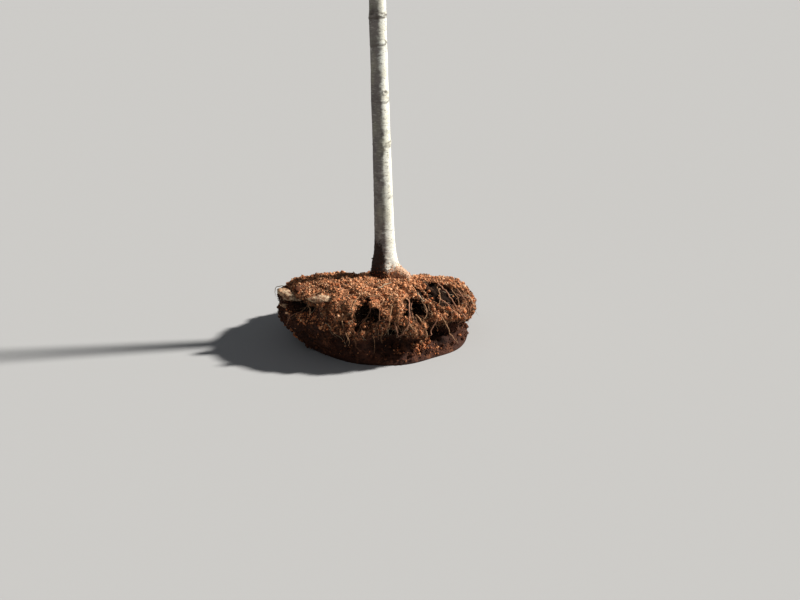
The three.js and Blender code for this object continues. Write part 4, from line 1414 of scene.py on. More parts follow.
# Shares of the tones from pale to red: on the ball's sides, on its top (dry, and paler as painted light on
# faces turned up), darker at the torn edge (moist, and painted shade), and stuck on the clay, thinly or in
# clusters
SIDE_TONES = np.array((0.07, 0.24, 0.36, 0.22, 0.11))
TOP_TONES = np.array((0.26, 0.42, 0.22, 0.05, 0.05))
LOW_TONES = np.array((0.03, 0.12, 0.33, 0.44, 0.08))
CLAY_TONES = np.array((0.0, 0.01, 0.07, 0.91, 0.01))
CLUSTER_TONES = np.array((0.05, 0.25, 0.32, 0.1, 0.28))
# Sizes as shares of a crumb's: grains, clods, crumbs caught in the tufts, and crumbs on the trunk's foot
GRAIN_SIZE = 0.55
CLOD_SIZE = 1.9
HUNG_SIZE = 0.85
FOOT_SIZE = 0.45


@lru_cache
def soil_finishes(look):
    """Five tones of soil, pale to red."""
    tones = {"Pale": "pale", "Light": "light", "Brown": "mid", "Dark": "dark", "Red": "red"}
    named = {f"{name} soil": f"soil_{key}" for name, key in tones.items()}
    return tone_finishes(look, named, 0.95, 330.0, 0.0026)


def build_crumbs(look):
    """Grains, crumbs and a few clods, and crumbs caught in the tufts of root."""
    finishes = soil_finishes(look)
    shape = icosahedron()
    size = look.crumb_size
    scattered_soil("soil_grains", look.grains, size * GRAIN_SIZE, octahedron(), 71, finishes)
    scattered_soil("soil_crumbs", look.crumbs, size, shape, 72, finishes)
    scattered_soil("soil_clods", look.clods, size * CLOD_SIZE, finer(*shape), 73, finishes)
    rng = np.random.default_rng(74)
    lines = tuft_lines(look.tufts)
    which = rng.integers(0, look.tufts, look.hung_crumbs)
    at = rng.uniform(0.5, TUFT_STEPS - 0.5, look.hung_crumbs)
    row = at.astype(int)
    place = mix(lines[which, row], lines[which, row + 1], (at - row)[:, None])
    place = place + rng.normal(0, 0.0035, place.shape)
    outward = unit(place * [1, 1, 0] + UP * 0.1)
    soil_piece("hung_crumbs", place, outward, size * HUNG_SIZE, shape, rng, finishes)


def build_foot_crumbs(look):
    """Crumbs that cling to the trunk's foot, fewer higher up, most of them in front and on the left, where
    they are dark as painted shade.
    """
    rng = np.random.default_rng(91)
    count = look.foot_crumbs
    angle = math.radians(-100) + rng.normal(0, 0.95, count)
    height = -0.012 + rng.exponential(0.01 + 0.007 * facing(angle, -88, 0.2, 0.9))
    above = np.maximum(height, 0)
    radius = trunk_radius(0.0) + flare_reach(angle, above)
    place = trunk_centre(above) + round_axis(angle, radius, np.minimum(height, 0))
    outward = unit(round_axis(angle, 1, 0.25))
    # Painted light and shade: pale top tones on the sunlit right, dark clay tones on the sunless left.
    shares = mix(TOP_TONES, CLAY_TONES, facing(angle, -146, 0.1, 0.7)[:, None])
    size = look.crumb_size * FOOT_SIZE
    soil_piece("foot_crumbs", place, outward, size, icosahedron(), rng, soil_finishes(look), shares)


FIBRE_STEPS = 7
TUFT_HAIRS = 5
TUFT_STEPS = 8
HAIR_STEPS = 7
HAIR_SIDES = 3
ROOT_STEPS = 26
FORKS_PER_ROOT = 3
FORK_STEPS = 12
LOWEST_ROOT = 0.004
# Shares of pale, tan, pink and brown among fine roots, tufts, the tufts' stray hairs, hairs and hanging roots
FIBRE_TONES = (0.16, 0.38, 0.08, 0.38)
TUFT_TONES = (0.05, 0.28, 0.12, 0.55)
STRAY_TONES = (0.15, 0.35, 0.1, 0.4)
HAIR_TONES = (0.06, 0.4, 0.16, 0.38)
ROOT_TONES = (0.2, 0.34, 0.22, 0.24)


def root_finishes(look):
    """Four tones of root, pale to dirty."""
    named = {f"{tone} roots": f"root_{tone.lower()}" for tone in ("Pale", "Tan", "Pink", "Brown")}
    return tone_finishes(look, named, 0.88, 420.0, 0.0012)


def face_tones(stack, dealt):
    """The tones of a stack's quads and triangles, by its tubes' tones."""
    return [np.repeat(dealt, len(faces) // len(dealt)) for faces in stack[1:3]]


def root_piece(name, stacks, tube_tones, finishes):
    """One piece of root tubes, each with its tone."""
    tones = [face_tones(stack, dealt) for stack, dealt in zip(stacks, tube_tones)]
    in_order = np.concatenate([both[i] for i in range(2) for both in tones])
    piece = new_piece(name, *join(stacks), finishes=finishes, tones=in_order)


def tapered(thick, rows, end):
    """Radii from thick down to a share of it."""
    share = np.linspace(0, 1, rows)
    return thick[:, None] * (1 - (1 - end) * share)


def build_fibres(look, finishes):
    """Fine roots matted over the soil: short wandering paths, both ends sunk."""
    rng = np.random.default_rng(83)
    points, _, mat, recess_shade = core_grid()
    weight = mat * (1 - 0.85 * recess_shade) * (points[..., 2] > 0.03) * (reach_of(points) > 0.06)
    count = look.fibres
    for number in (1, 2):
        row, column = scatter(count, weight, rng)
        step = rng.uniform(0.0018, 0.0056, count)
        heading = rng.uniform(-np.pi, np.pi, count)
        rows, columns = walk(row, column, heading, FIBRE_STEPS, step, 0.5, 0.0, rng)
        arch = np.sin(np.linspace(0.05, np.pi - 0.1, FIBRE_STEPS + 1))
        arch = arch * rng.uniform(0.001, 0.006, (count, 1)) - 0.001
        lines = over_surface(rows, columns, arch[..., None], 1)
        thick = rng.uniform(0.00035, 0.0008, count)
        stack = carry(lines, tapered(thick, FIBRE_STEPS + 1, 0.6), HAIR_SIDES)
        tones = rng.choice(4, count, p=FIBRE_TONES)
        root_piece(f"fine_roots_{number}", [stack], [tones], finishes)


@lru_cache
def tuft_lines(count):
    """Where tufts hang: from the torn edge, drooping over the clay."""
    rng = np.random.default_rng(86)
    points, _, mat, _ = core_grid()
    angle = bearing_of(points)
    front = 0.22 + 0.78 * facing(angle, -62, 0.0, 0.75)
    near = bell(points[..., 2] - crumb_edge(angle) - 0.01, 0.02)
    row, column = scatter(count, mat * front * near, rng)
    step = rng.uniform(0.0028, 0.007, count)
    rows, columns = walk(row, column, rng.normal(0, 0.25, count), TUFT_STEPS, step, 0.12, 0.2, rng)
    along = np.linspace(0, 1, TUFT_STEPS + 1)
    lift = (-0.003 + 0.01 * along**0.8) * rng.uniform(0.5, 1.3, (count, 1))
    return over_surface(rows, columns, lift[..., None], 14)


def build_tufts(look, finishes):
    """Tufts of fine root, which draw together as they hang."""
    rng = np.random.default_rng(87)
    along = np.linspace(0, 1, TUFT_STEPS + 1)
    middle = np.repeat(tuft_lines(look.tufts), TUFT_HAIRS, axis=0)
    count = len(middle)
    spread = rng.normal(0, 1, (count, 1, 3)) * [0.006, 0.006, 0.003]
    lines = middle + spread * (1.05 - 0.8 * along[:, None])
    lines = lines + np.cumsum(rng.normal(0, 0.0007, lines.shape), axis=1)
    lines[..., 2] = np.maximum(lines[..., 2], LOWEST_ROOT)
    stack = carry(lines, tapered(rng.uniform(0.0004, 0.001, count), TUFT_STEPS + 1, 0.5), HAIR_SIDES)
    tones = np.repeat(rng.choice(4, look.tufts, p=TUFT_TONES), TUFT_HAIRS)
    stray = rng.random(count) < 0.3
    tones[stray] = rng.choice(4, stray.sum(), p=STRAY_TONES)
    root_piece("root_tufts", [stack], [tones], finishes)


def build_hairs(look, finishes):
    """Fine roots that leave the mat, droop and curl."""
    rng = np.random.default_rng(89)
    points, normals, mat, recess_shade = core_grid()
    front = 0.35 + 0.65 * facing(bearing_of(points), -48, -0.1, 0.8)
    side = (points[..., 2] > 0.075) & (points[..., 2] < 0.235)
    count = look.hairs
    row, column = scatter(count, mat * side * front * (1 - 0.8 * recess_shade), rng)
    start, outward = on_grid(points, row, column), unit(on_grid(normals, row, column))
    outward = unit(outward * [1, 1, 0.3])
    length = rng.uniform(0.012, 0.048, (count, 1))
    way = unit(outward * rng.uniform(0.25, 0.9, (count, 1)) - UP * rng.uniform(0.2, 1.2, (count, 1)))
    line = [start - outward * 0.003]
    for _ in range(HAIR_STEPS):
        way = unit(way + rng.normal(0, 0.22, way.shape) - UP * 0.2)
        line.append(line[-1] + way * length / HAIR_STEPS)
    lines = np.stack(line, axis=1)
    lines[..., 2] = np.maximum(lines[..., 2], 0.003)
    stack = carry(lines, tapered(rng.uniform(0.0004, 0.001, count), HAIR_STEPS + 1, 0.45), HAIR_SIDES)
    root_piece("hanging_hairs", [stack], [rng.choice(4, count, p=HAIR_TONES)], finishes)


def build_roots(look, finishes):
    """Roots with forks, which run over the shoulder and hang down the torn sides, taut over the hollows."""
    rng = np.random.default_rng(97)
    points = core_grid()[0]
    front = 0.3 + 0.7 * facing(bearing_of(points), -52, 0.0, 0.9)
    start_zone = (reach_of(points) > 0.2) & (points[..., 2] > 0.17)
    count = look.roots
    row, column = scatter(count, start_zone * front, rng)
    step = rng.uniform(0.0042, 0.008, count)
    rows, columns = walk(row, column, rng.normal(0, 0.7, count), ROOT_STEPS, step, 0.16, 0.1, rng)
    lift = np.full((count, ROOT_STEPS + 1, 1), 0.0026)
    lift[:, 0] = -0.006
    lift[:, 1] = -0.001
    lines = over_surface(rows, columns, lift, 26)
    thick = rng.uniform(0.001, 0.0026, count)
    knobs = 1 + 0.16 * rng.normal(size=(count, ROOT_STEPS + 1))
    mains = carry(lines, tapered(thick, ROOT_STEPS + 1, 0.35) * knobs, 6)
    tones = rng.choice(4, count, p=ROOT_TONES)
    forks = count * FORKS_PER_ROOT
    parent = rng.integers(0, count, forks)
    where = rng.integers(4, ROOT_STEPS - 4, forks)
    turn = rng.choice((-1, 1), forks) * rng.uniform(0.4, 1.1, forks)
    start = rows[parent, where], columns[parent, where]
    step = rng.uniform(0.0035, 0.006, forks)
    fork_rows, fork_columns = walk(*start, turn, FORK_STEPS, step, 0.2, 0.08, rng)
    fork_lines = over_surface(fork_rows, fork_columns, np.full((forks, FORK_STEPS + 1, 1), 0.0022), 8)
    fork_lines[:, 0] = lines[parent, where]
    fork_radii = tapered(thick[parent] * rng.uniform(0.35, 0.6, forks), FORK_STEPS + 1, 0.4)
    branches = carry(fork_lines, fork_radii, 5)
    root_piece("hanging_roots", [mains, branches], [tones, tones[parent]], finishes)


# Roots that stand out one by one on the torn front: tone, radius, and points of bearing, height and reach, in
# degrees and millimetres
LONE_ROOTS = (
    (2, 0.0042, (-30, 262, 236), (-34, 252, 275), (-39, 240, 316), (-39, 208, 345), (-34, 172, 352)),
    (1, 0.0028, (-36, 256, 248), (-43, 247, 285), (-48, 230, 309), (-51, 206, 318)),
    (2, 0.003, (-46, 236, 290), (-43, 214, 322), (-40, 186, 340), (-35, 153, 346)),
    (2, 0.0032, (-71, 246, 280), (-73, 232, 312), (-74, 212, 340), (-75, 188, 353), (-76, 160, 352)),
    (2, 0.0021, (-75, 188, 351), (-77, 163, 356), (-80, 136, 352), (-82, 124, 346)),
    (1, 0.002, (-75, 180, 352), (-72, 155, 350), (-69, 133, 346)),
    (2, 0.0026, (-24, 242, 305), (-28, 216, 344), (-27, 190, 352), (-21, 152, 352)),
    (1, 0.0022, (-28, 246, 290), (-33, 224, 333), (-34, 192, 348), (-33, 170, 350)),
    (0, 0.002, (-20, 214, 345), (-18, 180, 362), (-14, 140, 362), (-13, 118, 356)),
    (1, 0.0024, (-85, 244, 300), (-86, 217, 333), (-87, 190, 356), (-88, 160, 360)),
    (3, 0.0026, (-80, 236, 308), (-81, 208, 345), (-82, 178, 358), (-80, 155, 356)),
    (1, 0.0022, (-62, 242, 298), (-62, 212, 334), (-65, 184, 344), (-62, 150, 340)),
    (1, 0.0027, (-51, 180, 338), (-47, 138, 344), (-43, 98, 342), (-38, 62, 346), (-36, 44, 348)),
    (3, 0.0022, (-93, 236, 320), (-93, 204, 350), (-95, 172, 360), (-94, 150, 362)),
    (1, 0.0023, (-115, 190, 365), (-112, 152, 382), (-110, 118, 378), (-111, 96, 372)),
    (3, 0.0026, (-109, 175, 350), (-107, 128, 368), (-106, 94, 366), (-104, 76, 360)),
    (1, 0.002, (-140, 240, 360), (-137, 220, 385), (-136, 200, 388), (-138, 180, 384)),
    (0, 0.0021, (-170, 238, 410), (-173, 222, 438), (-174, 204, 444), (-172, 186, 440)),
    (0, 0.0034, (-96, 274, 215), (-92, 279, 200), (-87, 283, 186), (-82, 282, 174)),
)
LONE_ROWS = 40


def build_lone_roots(finishes):
    """The roots that stand out on the torn front, drawn through their points, with knobs and kinks."""
    stacks, tones = [], []
    for tone, radius, *places in LONE_ROOTS:
        bearing, height, reach = np.array(places).T
        line = round_axis(np.radians(bearing), reach / 1000, height / 1000)
        smooth = smooth_lines(line[None], LONE_ROWS // (len(line) - 1))
        smooth = smooth + 0.0034 * shake(smooth, 0.014, 65)
        share = np.linspace(0, 1, smooth.shape[1])
        radii = 0.76 * radius * (1 - 0.72 * share**1.4) * (1 + 0.3 * waves(smooth, 0.006, 68, 2))
        stacks.append(carry(smooth, radii, 9))
        tones.append(np.array([tone]))
    root_piece("lone_roots", stacks, tones, finishes)


def build_strands(finishes):
    """The part's own thick strands, as knobbly roots."""
    strands = []
    for index in range(STRANDS):
        draw = seeded(child_seed(CROWN_SEED, 900 + index))
        bearing = math.radians(-96 + (index * 112) / STRANDS + 6 * draw())
        start = 0.42 + 0.05 * draw()
        end = 0.62 + 0.16 * draw()
        slant = math.radians(14 * (draw() - 0.5))
        radius = 0.003 + 0.0025 * draw()
        share = np.linspace(0, 1, STRAND_STEPS + 1)
        line = ball_point(bearing + slant * share, np.linspace(start, end, STRAND_STEPS + 1))
        out = [radius * (0.6 + 0.8 * draw()) for _ in range(STRAND_STEPS - 1)]
        out = np.array([-STRAND_END_SUNK, *out, -STRAND_END_SUNK])
        line[:, 0] += out * math.cos(bearing)
        line[:, 1] += out * math.sin(bearing)
        strands.append({"line": line, "radii": 0.62 * radius * (1 - 0.6 * share)})
    smooth, thick = smoothed(strands, STRAND_PARTS)
    knobs = 1 + 0.18 * waves(smooth, 0.01, 61, 2)
    smooth = smooth + 0.0022 * shake(smooth, 0.016, 62)
    tones = 1 + np.arange(STRANDS) % 3
    root_piece("root_strands", [carry(smooth, thick * knobs, 12)], [tones], finishes)


CUT_ROWS = 64
CUT_SIDES = 48
CUT_FACE_ROWS = 8
# The thickness of a cut root at shares of its length
CUT_SHARES = (0, 0.45, 0.7, 0.88, 1)
CUT_SWELLS = (0.8, 0.9, 1.2, 1.04, 0.78)


def build_cut_roots(look):
    """Thick cut roots: a knobbly limb, a worn rim and a flat sawn face."""
    bark, face = root_bark_finish(look), cut_face_finish(look)
    for number, (leaves, ends, radius) in enumerate(CUT_ROOTS, start=1):
        leaves, ends = np.array(leaves), np.array(ends)
        heading = unit(ends - leaves)
        start = leaves - heading * CUT_ROOT_INSIDE - UP * CUT_ROOT_DIP
        share = np.linspace(0, 1, CUT_ROWS)
        line = mix(start, ends, share[:, None])
        sway = np.sin(share * np.pi)[:, None] * 0.16 * radius
        line = line + sway * shake(line, 0.05, 50)
        taper = np.interp(share, CUT_SHARES, CUT_SWELLS) * radius
        rim = np.linspace(0, 1, CUT_FACE_ROWS + 1)[1:]
        face_line = ends + heading * (0.004 * np.sqrt(rim) - 0.0085 * rim**3)[:, None]
        line = np.concatenate([line, face_line])
        radii = np.concatenate([taper, taper[-1] * (1 - rim * 0.985)])
        turn = ring_turns(CUT_SIDES)
        probe = line[:, None] + radius * round_axis(turn, 1, np.sin(2 * turn))
        rough = 0.94 + 0.24 * waves(probe, 0.026, 54, 3) + 0.07 * waves(probe, 0.006, 57, 2)
        rough = rough + 0.3 * (clods(probe, 0.017, 58) - 0.6)
        grown = np.where(np.arange(len(line))[:, None] < CUT_ROWS, rough, rough[CUT_ROWS - 1])
        radii = (radii[:, None] * grown)[None]
        points, quads, caps, straight = carry(line[None], radii, CUT_SIDES, point=0.0)
        torn = smoothstep(straight[:, 2], straight[:, 2].max() - 0.045, straight[:, 2].max())
        uneven = 0.45 * waves(points * [1, 1, 1.6], 0.02, 59, 3) - 0.25 + 0.5 * unit(points - ends) @ UP
        points = points + (radius * torn * uneven)[:, None] * heading
        points = points - (0.3 * radius * torn * waves(points, 0.014, 60, 2))[:, None] * UP
        sawn = np.repeat(np.arange(len(line) - 1) >= CUT_ROWS - 1, CUT_SIDES)
        tones = np.concatenate([sawn, np.zeros(CUT_SIDES, bool), np.ones(CUT_SIDES, bool)]).astype(int)
        piece = new_piece(f"cut_root_bark_{number}", points, quads, caps, straight, [bark, face], tones)
        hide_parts(f"cut_root_{number}")


# The trunk

# Rings round the trunk: height, how far it stands out, half its height, and how dark it is
RINGS = (
    (0.965, 0.0016, 0.0055, 1.0),
    (0.872, 0.0008, 0.005, 0.85),
    (0.671, 0.0009, 0.0032, 1.0),
    (0.506, 0.001, 0.004, 0.6),
    (0.309, 0.0008, 0.004, 0.5),
    (1.245, 0.001, 0.0045, 0.6),
    (1.47, 0.0008, 0.004, 0.5),
)
SUNK_ROWS = 12
SUNK_SPREAD = 0.2
# Scars of lost branches: height, bearing, half width, half height
SCARS = (
    (0.704, -52, 0.013, 0.008),
    (0.52, -20, 0.011, 0.007),
    (0.98, -128, 0.012, 0.007),
    (1.015, 40, 0.011, 0.008),
    (0.33, 150, 0.009, 0.006),
    (0.845, 118, 0.01, 0.007),
    (1.15, -70, 0.012, 0.009),
    (1.29, 165, 0.012, 0.008),
    (1.41, 20, 0.01, 0.007),
)


def flare_reach(angle, height):
    """How far the root flare and its buttress stand out."""
    lobes = 1 + 0.16 * np.cos(3 * angle + 0.7) + 0.12 * np.cos(5 * angle + 2.2)
    buttress = bell(off_bearing(angle, BUTTRESS_BEARING), 0.36) * bell(height, BUTTRESS_HEIGHT)
    return FLARE * lobes * np.exp(-height / FLARE_HEIGHT) + BUTTRESS_REACH * buttress


def ringed(place, angle, height, added, dark):
    """Relief and darkness with the trunk's rings: a ridge over a groove."""
    for level, out, half, depth in RINGS:
        here = level + 0.004 * waves(place * [1, 1, 0], 0.03, 109, 1) + 0.003 * np.cos(angle + 7 * level)
        groove = bell(height - here + 0.4 * half, 0.7 * half)
        broken = smoothstep(waves(place * [1, 1, 0.1], 0.045, 113, 1), -0.5, 0.3)
        added = added + out * bell(height - here - half, half) - 0.6 * out * groove
        blotches = smoothstep(waves(place * [1, 1, 2.2], 0.016, 115, 3), -0.15, 0.55)
        blotches = blotches * bell(height - here - 1.2 * half, 3.4 * half)
        dark = np.max([dark + 0 * groove, depth * groove * broken, 0.9 * depth * blotches], axis=0)
    return added, dark


def scarred(angle, height, plain, added, dark):
    """Relief and darkness with the branch scars: a raised eye and a fold over it."""
    for level, bearing, wide, tall in SCARS:
        aside = off_bearing(angle, bearing) * plain
        above = height - level
        eye = np.sqrt((aside / wide) ** 2 + (above / tall) ** 2)
        fold = above - 1.5 * tall + 0.55 * np.abs(aside)
        added = added + 0.0028 * bell(eye - 0.85, 0.35) - 0.0012 * bell(eye, 0.5)
        added = added + 0.0014 * bell(fold, 0.0026) * smoothstep(wide * 2.6 - np.abs(aside), 0, wide)
        under = bell(fold + 0.003, 0.0018) * smoothstep(wide * 2.4 - np.abs(aside), 0, wide)
        dark = np.max([dark, 0.85 * bell(eye, 0.6), 0.6 * under], axis=0)
    return added, dark


def collared(angle, height, plain, added, dark):
    """Relief and darkness with each limb's fillet and the fold over it."""
    bare = trunk_centre(height) + round_axis(angle, plain, 0.0)
    for limb in [*crown()["limbs"], *crown()["uppers"]]:
        thick = limb["radii"][0]
        aside = wrapped(angle - limb["bearing"]) * plain
        step = limb["line"][1] - limb["line"][0]
        above = height - (limb["height"] + plain * step[2] / float(np.hypot(*step[:2])))
        near = np.abs(above[:, 0]) < 9 * thick
        gap = nearest_on(bare[near].reshape(-1, 3), limb["line"][:1], step[None])[0]
        added[near] += fillet(gap.reshape(near.sum(), -1) - thick, thick)
        fold = above - 1.5 * thick + 0.9 * np.abs(aside)
        brow = bell(fold, 0.22 * thick) * smoothstep(3.2 * thick - np.abs(aside), 0, 2 * thick)
        added = added + 0.1 * thick * brow
        dark = np.maximum(dark, 0.5 * brow)
    return added, dark


def trunk_surface(rows, columns, relief):
    """The trunk's grid: its centre plus its radius at each turn and height. Also how dark its scars are.

    radius = taper + flare + relief: slow waves, fine wrinkles across, rings, branch scars, and what each limb
    brings. Below height 0 the foot runs on into the soil, a little wider."""
    share = np.linspace(0, 1, rows)
    stands = (TRUNK_HEIGHT * (0.62 * share + 0.38 * share**2.4))[:, None]
    sunk = np.linspace(TRUNK_SUNK, 0, SUNK_ROWS, endpoint=False)[:, None]
    height = np.concatenate([0 * sunk, stands])
    below = np.concatenate([sunk, 0 * stands])
    angle = ring_turns(columns)[None]
    plain = trunk_radius(height)
    place = round_axis(angle, plain, height)
    calm = np.clip(plain / 0.03, 0.2, 1)
    added = 0.0011 * waves(place * [1, 1, 0.35], 0.032, 101, 2) * calm
    wrinkled = (0.15 + 0.85 * bell(height, 0.26)) * mix(0.4, 1, facing(angle, -165, -0.45, 0.5))
    added = added + 0.001 * wrinkled * waves(place * [1, 1, 5], 0.034, 103, 3) * calm
    added = added + 0.0032 * waves(place * [1, 1, 0.5], 0.022, 107, 2) * bell(height, 0.09)
    added, dark = ringed(place, angle, height, added, 0)
    added, dark = scarred(angle, height, plain, added, dark)
    added, dark = collared(angle, height, plain, added, dark)
    radius = plain + flare_reach(angle, height) + relief * added + SUNK_SPREAD * below
    return trunk_centre(height) + round_axis(angle, radius, -below), dark


def fillet(gap, thick):
    """How far a surface swells at a distance from one that it meets: w/4 * (1 - |gap|/w)^2 up to w away."""
    wide = FILLET * thick
    return wide / 4 * (1 - np.clip(np.abs(gap) / wide, 0, 1)) ** 2


def above_soil(points):
    """Heights above the soil at the trunk's foot."""
    x, y = points[..., 0], points[..., 1]
    return points[..., 2] - BALL_DEPTH + top_fall(x, y) - mound_height(x, y)


def shady_side(angle):
    """1 on the trunk's side that gets no sun."""
    return facing(angle, -158, -0.15, 0.75)


def bark_marks(points, columns):
    """How strongly the bark is stained with moist soil, tan like a root, and grey and rippled, partly as
    painted shade.

    The soil is highest on the foot's sunless left, where its near black is also painted shade. The grey is
    painted shade on that side, and greyer bark in zones of height. The finish breaks the soil and the tan up
    into specks."""
    angle = ring_turns(columns)[None]
    height = above_soil(points)
    patches = waves(points * [1, 1, 0.7], 0.024, 121, 3)
    left = facing(angle, -146, 0.2, 0.9)
    # Soil on the foot, highest on the sunless left, where its dark is also painted shade.
    soil_stain_and_shade = smoothstep(0.18 * left - 0.05 + 0.03 * patches - height, -0.07, 0.05)
    buttress = bell(off_bearing(angle, BUTTRESS_BEARING), 0.5)
    blush = smoothstep(0.024 + 0.03 * buttress + 0.016 * patches - 0.03 * left - height, -0.03, 0.022)
    shady = shady_side(angle)
    zones = bell(height - 0.56, 0.13) + 0.8 * bell(height - 0.98, 0.05)
    zones = np.clip(zones + 0.5 * bell(height - 0.14, 0.1), 0, 1)
    # The sunless side is painted grey as shade, over zones of greyer bark.
    return {"soil_stain_and_shade": soil_stain_and_shade, "blush": blush, "shade_and_grime": 0.6 * shady + 0.4 * zones * mix(0.3, 1, shady)}


def build_trunk(look):
    """The trunk's bark as one closed grid, from the foot sunk in the soil to the leader."""
    points, dark = trunk_surface(look.rows, look.columns, look.relief)
    marks = {"scar": dark} | bark_marks(points, look.columns)
    marks = [(key, values, [0, 0]) for key, values in marks.items()]
    piece = grid_piece("trunk_bark", points, marks, trunk_finish(look))
    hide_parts("trunk")


# The crown

# Steps drawn for each step of the rule, and sides of each tube
LIMB_PARTS = 7
STEM_PARTS = 6
LEADER_PARTS = 8
SHOOT_PARTS = 6
TWIG_PARTS = 4
SPUR_PARTS = 2
STEM_SIDES = 14
SHOOT_SIDES = 8
TWIG_SIDES = 5
SPUR_SIDES = 3
TWIG_COLOURS = {"Twig bark": "twig_light", "Grey twig bark": "twig_grey", "Dark twig bark": "twig_dark"}
BUD_COLOURS = {"Bud scales": "bud", "Dark bud scales": "bud_tip"}
# How much limbs, shoots and twigs swell at each node, and how far it is from node to node
LIMB_NODE = 0.1
BUD_SPACING = 0.055
SHOOT_NODES = (0.14, 0.04)
TWIG_NODES = (0.2, 0.026)


def noded(lines, radii, swell, spacing):
    """Radii with a slight swelling at each node, where a leaf stood."""
    node = bell(np.sin(np.pi * lengths_along(lines) / spacing), 0.22)
    return radii * (1 + swell * node)


def smoothed(limbs, parts):
    """The lines and radii of limbs, carried smoothly."""
    radii = smooth_lines(stacked(limbs, "radii")[..., None], parts)[..., 0]
    return smooth_lines(stacked(limbs, "line"), parts), radii


def limb_stack(limbs, sides, parts):
    """Whole limbs as tubes drawn smoothly through the rule's points, with a collar at the trunk.

    Also gives how far the bark has turned from the trunk's pale colour to the darker limb colour: by length
    along the limb, and on the trunk's sunless side as painted shade."""
    first = parts * FOOT_FINENESS
    lines, radii = smoothed(limbs, first)
    kept = np.concatenate([np.arange(first), np.arange(first, lines.shape[1], FOOT_FINENESS)])
    lines, radii = lines[:, kept], radii[:, kept]
    length = lengths_along(lines)
    core = 0.9 * np.array([trunk_radius(limb["height"]) for limb in limbs])[:, None]
    radii = np.minimum(radii, mix(core, radii, smoothstep(length, 0.3 * core, 1.6 * core)))
    radii = noded(lines, radii, LIMB_NODE, BUD_SPACING)
    place = round_axis(ring_turns(sides), radii[..., None], length[..., None])
    rough = 1 + 0.055 * waves(place * [1, 1, 0.5], 0.012, 131, 2)
    bare = carry(lines, radii, sides)[0].reshape(len(limbs), -1, 3)[:, :-2]
    above_foot = bare[..., 2] - BALL_DEPTH
    aside = bare - trunk_centre(above_foot)
    away = (reach_of(aside) - trunk_radius(above_foot)).reshape(rough.shape)
    collar = fillet(away, np.max(radii, axis=1)[:, None, None]) * (length < 0.25)[..., None]
    young_or_shaded = np.repeat(smoothstep(length, 0.02, 0.34), sides, axis=1)
    # Painted shade: on the trunk's sunless side the collar takes the darker limb colours.
    young_or_shaded = np.maximum(young_or_shaded, 0.8 * shady_side(bearing_of(aside)))
    return carry(lines, radii[..., None] * rough + collar, sides), with_ends(young_or_shaded)


def with_ends(values):
    """Values for a stack of tubes: its rings, then its ends."""
    return np.concatenate([values, values[:, :1], values[:, -1:]], axis=1).ravel()


def build_limbs(look, bark):
    """Boughs run on as the stems of their masses in one taper."""
    stack, young_or_shaded = limb_stack(crown()["limbs"], look.limb_sides, LIMB_PARTS)
    piece = new_piece("bough_bark", *stack, finishes=[bark], extra=[("young_or_shaded", young_or_shaded)])
    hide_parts(*[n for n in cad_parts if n.startswith("bough_")])


def build_stems(bark, young_bark):
    """The upper stems, the leader and every side shoot."""
    uppers, young_or_shaded = limb_stack(crown()["uppers"], STEM_SIDES, STEM_PARTS)
    lines, radii = smoothed([crown()["leader"]], LEADER_PARTS)
    top = carry(lines, noded(lines, radii, LIMB_NODE, BUD_SPACING), STEM_SIDES)
    top_young = np.repeat(np.linspace(0, 2, lines.shape[1]).clip(0, 1), STEM_SIDES)
    young_or_shaded = np.append(young_or_shaded, with_ends(top_young[None]))
    piece = new_piece("upper_stem_bark", *join([uppers, top]), finishes=[bark], extra=[("young_or_shaded", young_or_shaded)])
    lines, radii = smoothed(crown()["shoots"], SHOOT_PARTS)
    radii = noded(lines, radii, *SHOOT_NODES)
    twig_piece("shoot_bark", carry(lines, radii, SHOOT_SIDES), len(lines), young_bark, 141)


def twig_piece(name, stack, count, tones, seed):
    """One piece of many twigs or buds, each in one tone."""
    dealt = np.random.default_rng(seed).integers(0, len(tones), count)
    piece = new_piece(name, *stack, finishes=tones, tones=np.concatenate(face_tones(stack, dealt)))
    return piece


def build_twigs(young_bark):
    """Twigs and spurs as slim tubes."""
    lines, radii = smoothed(crown()["twigs"], TWIG_PARTS)
    radii = noded(lines, radii * np.linspace(1, 0.62, radii.shape[1]), *TWIG_NODES)
    piece = twig_piece("twig_bark", carry(lines, radii, TWIG_SIDES), len(lines), young_bark, 142)
    masses = ("twigs_", "upper_twigs_", "leader_twigs")
    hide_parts(*[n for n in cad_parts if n.startswith(masses)])
    lines, radii = smoothed(crown()["spurs"], SPUR_PARTS)
    twig_piece("spur_bark", carry(lines, radii, SPUR_SIDES), len(lines), young_bark, 143)


BUD_PROFILE = ((0.0, 0.34), (0.3, 0.5), (0.68, 0.34))
BUD_SIDES = 4
BUD_POINTS = len(BUD_PROFILE) * BUD_SIDES + 2


def bud_stack(start, heading, length, thick):
    """Pointed oval buds."""
    share, wide = np.array(BUD_PROFILE).T
    lines = start[:, None] + heading[:, None] * (share * length[:, None])[..., None]
    return carry(lines, wide * thick[:, None], BUD_SIDES, point=1.8)


def end_buds(lines, length, rng):
    """A bud on the end of each line."""
    heading = unit(lines[:, -1] - lines[:, -2])
    size = length * rng.uniform(0.8, 1.2, len(lines))
    return bud_stack(lines[:, -1] - heading * 0.0004, heading, size, size * 0.52)


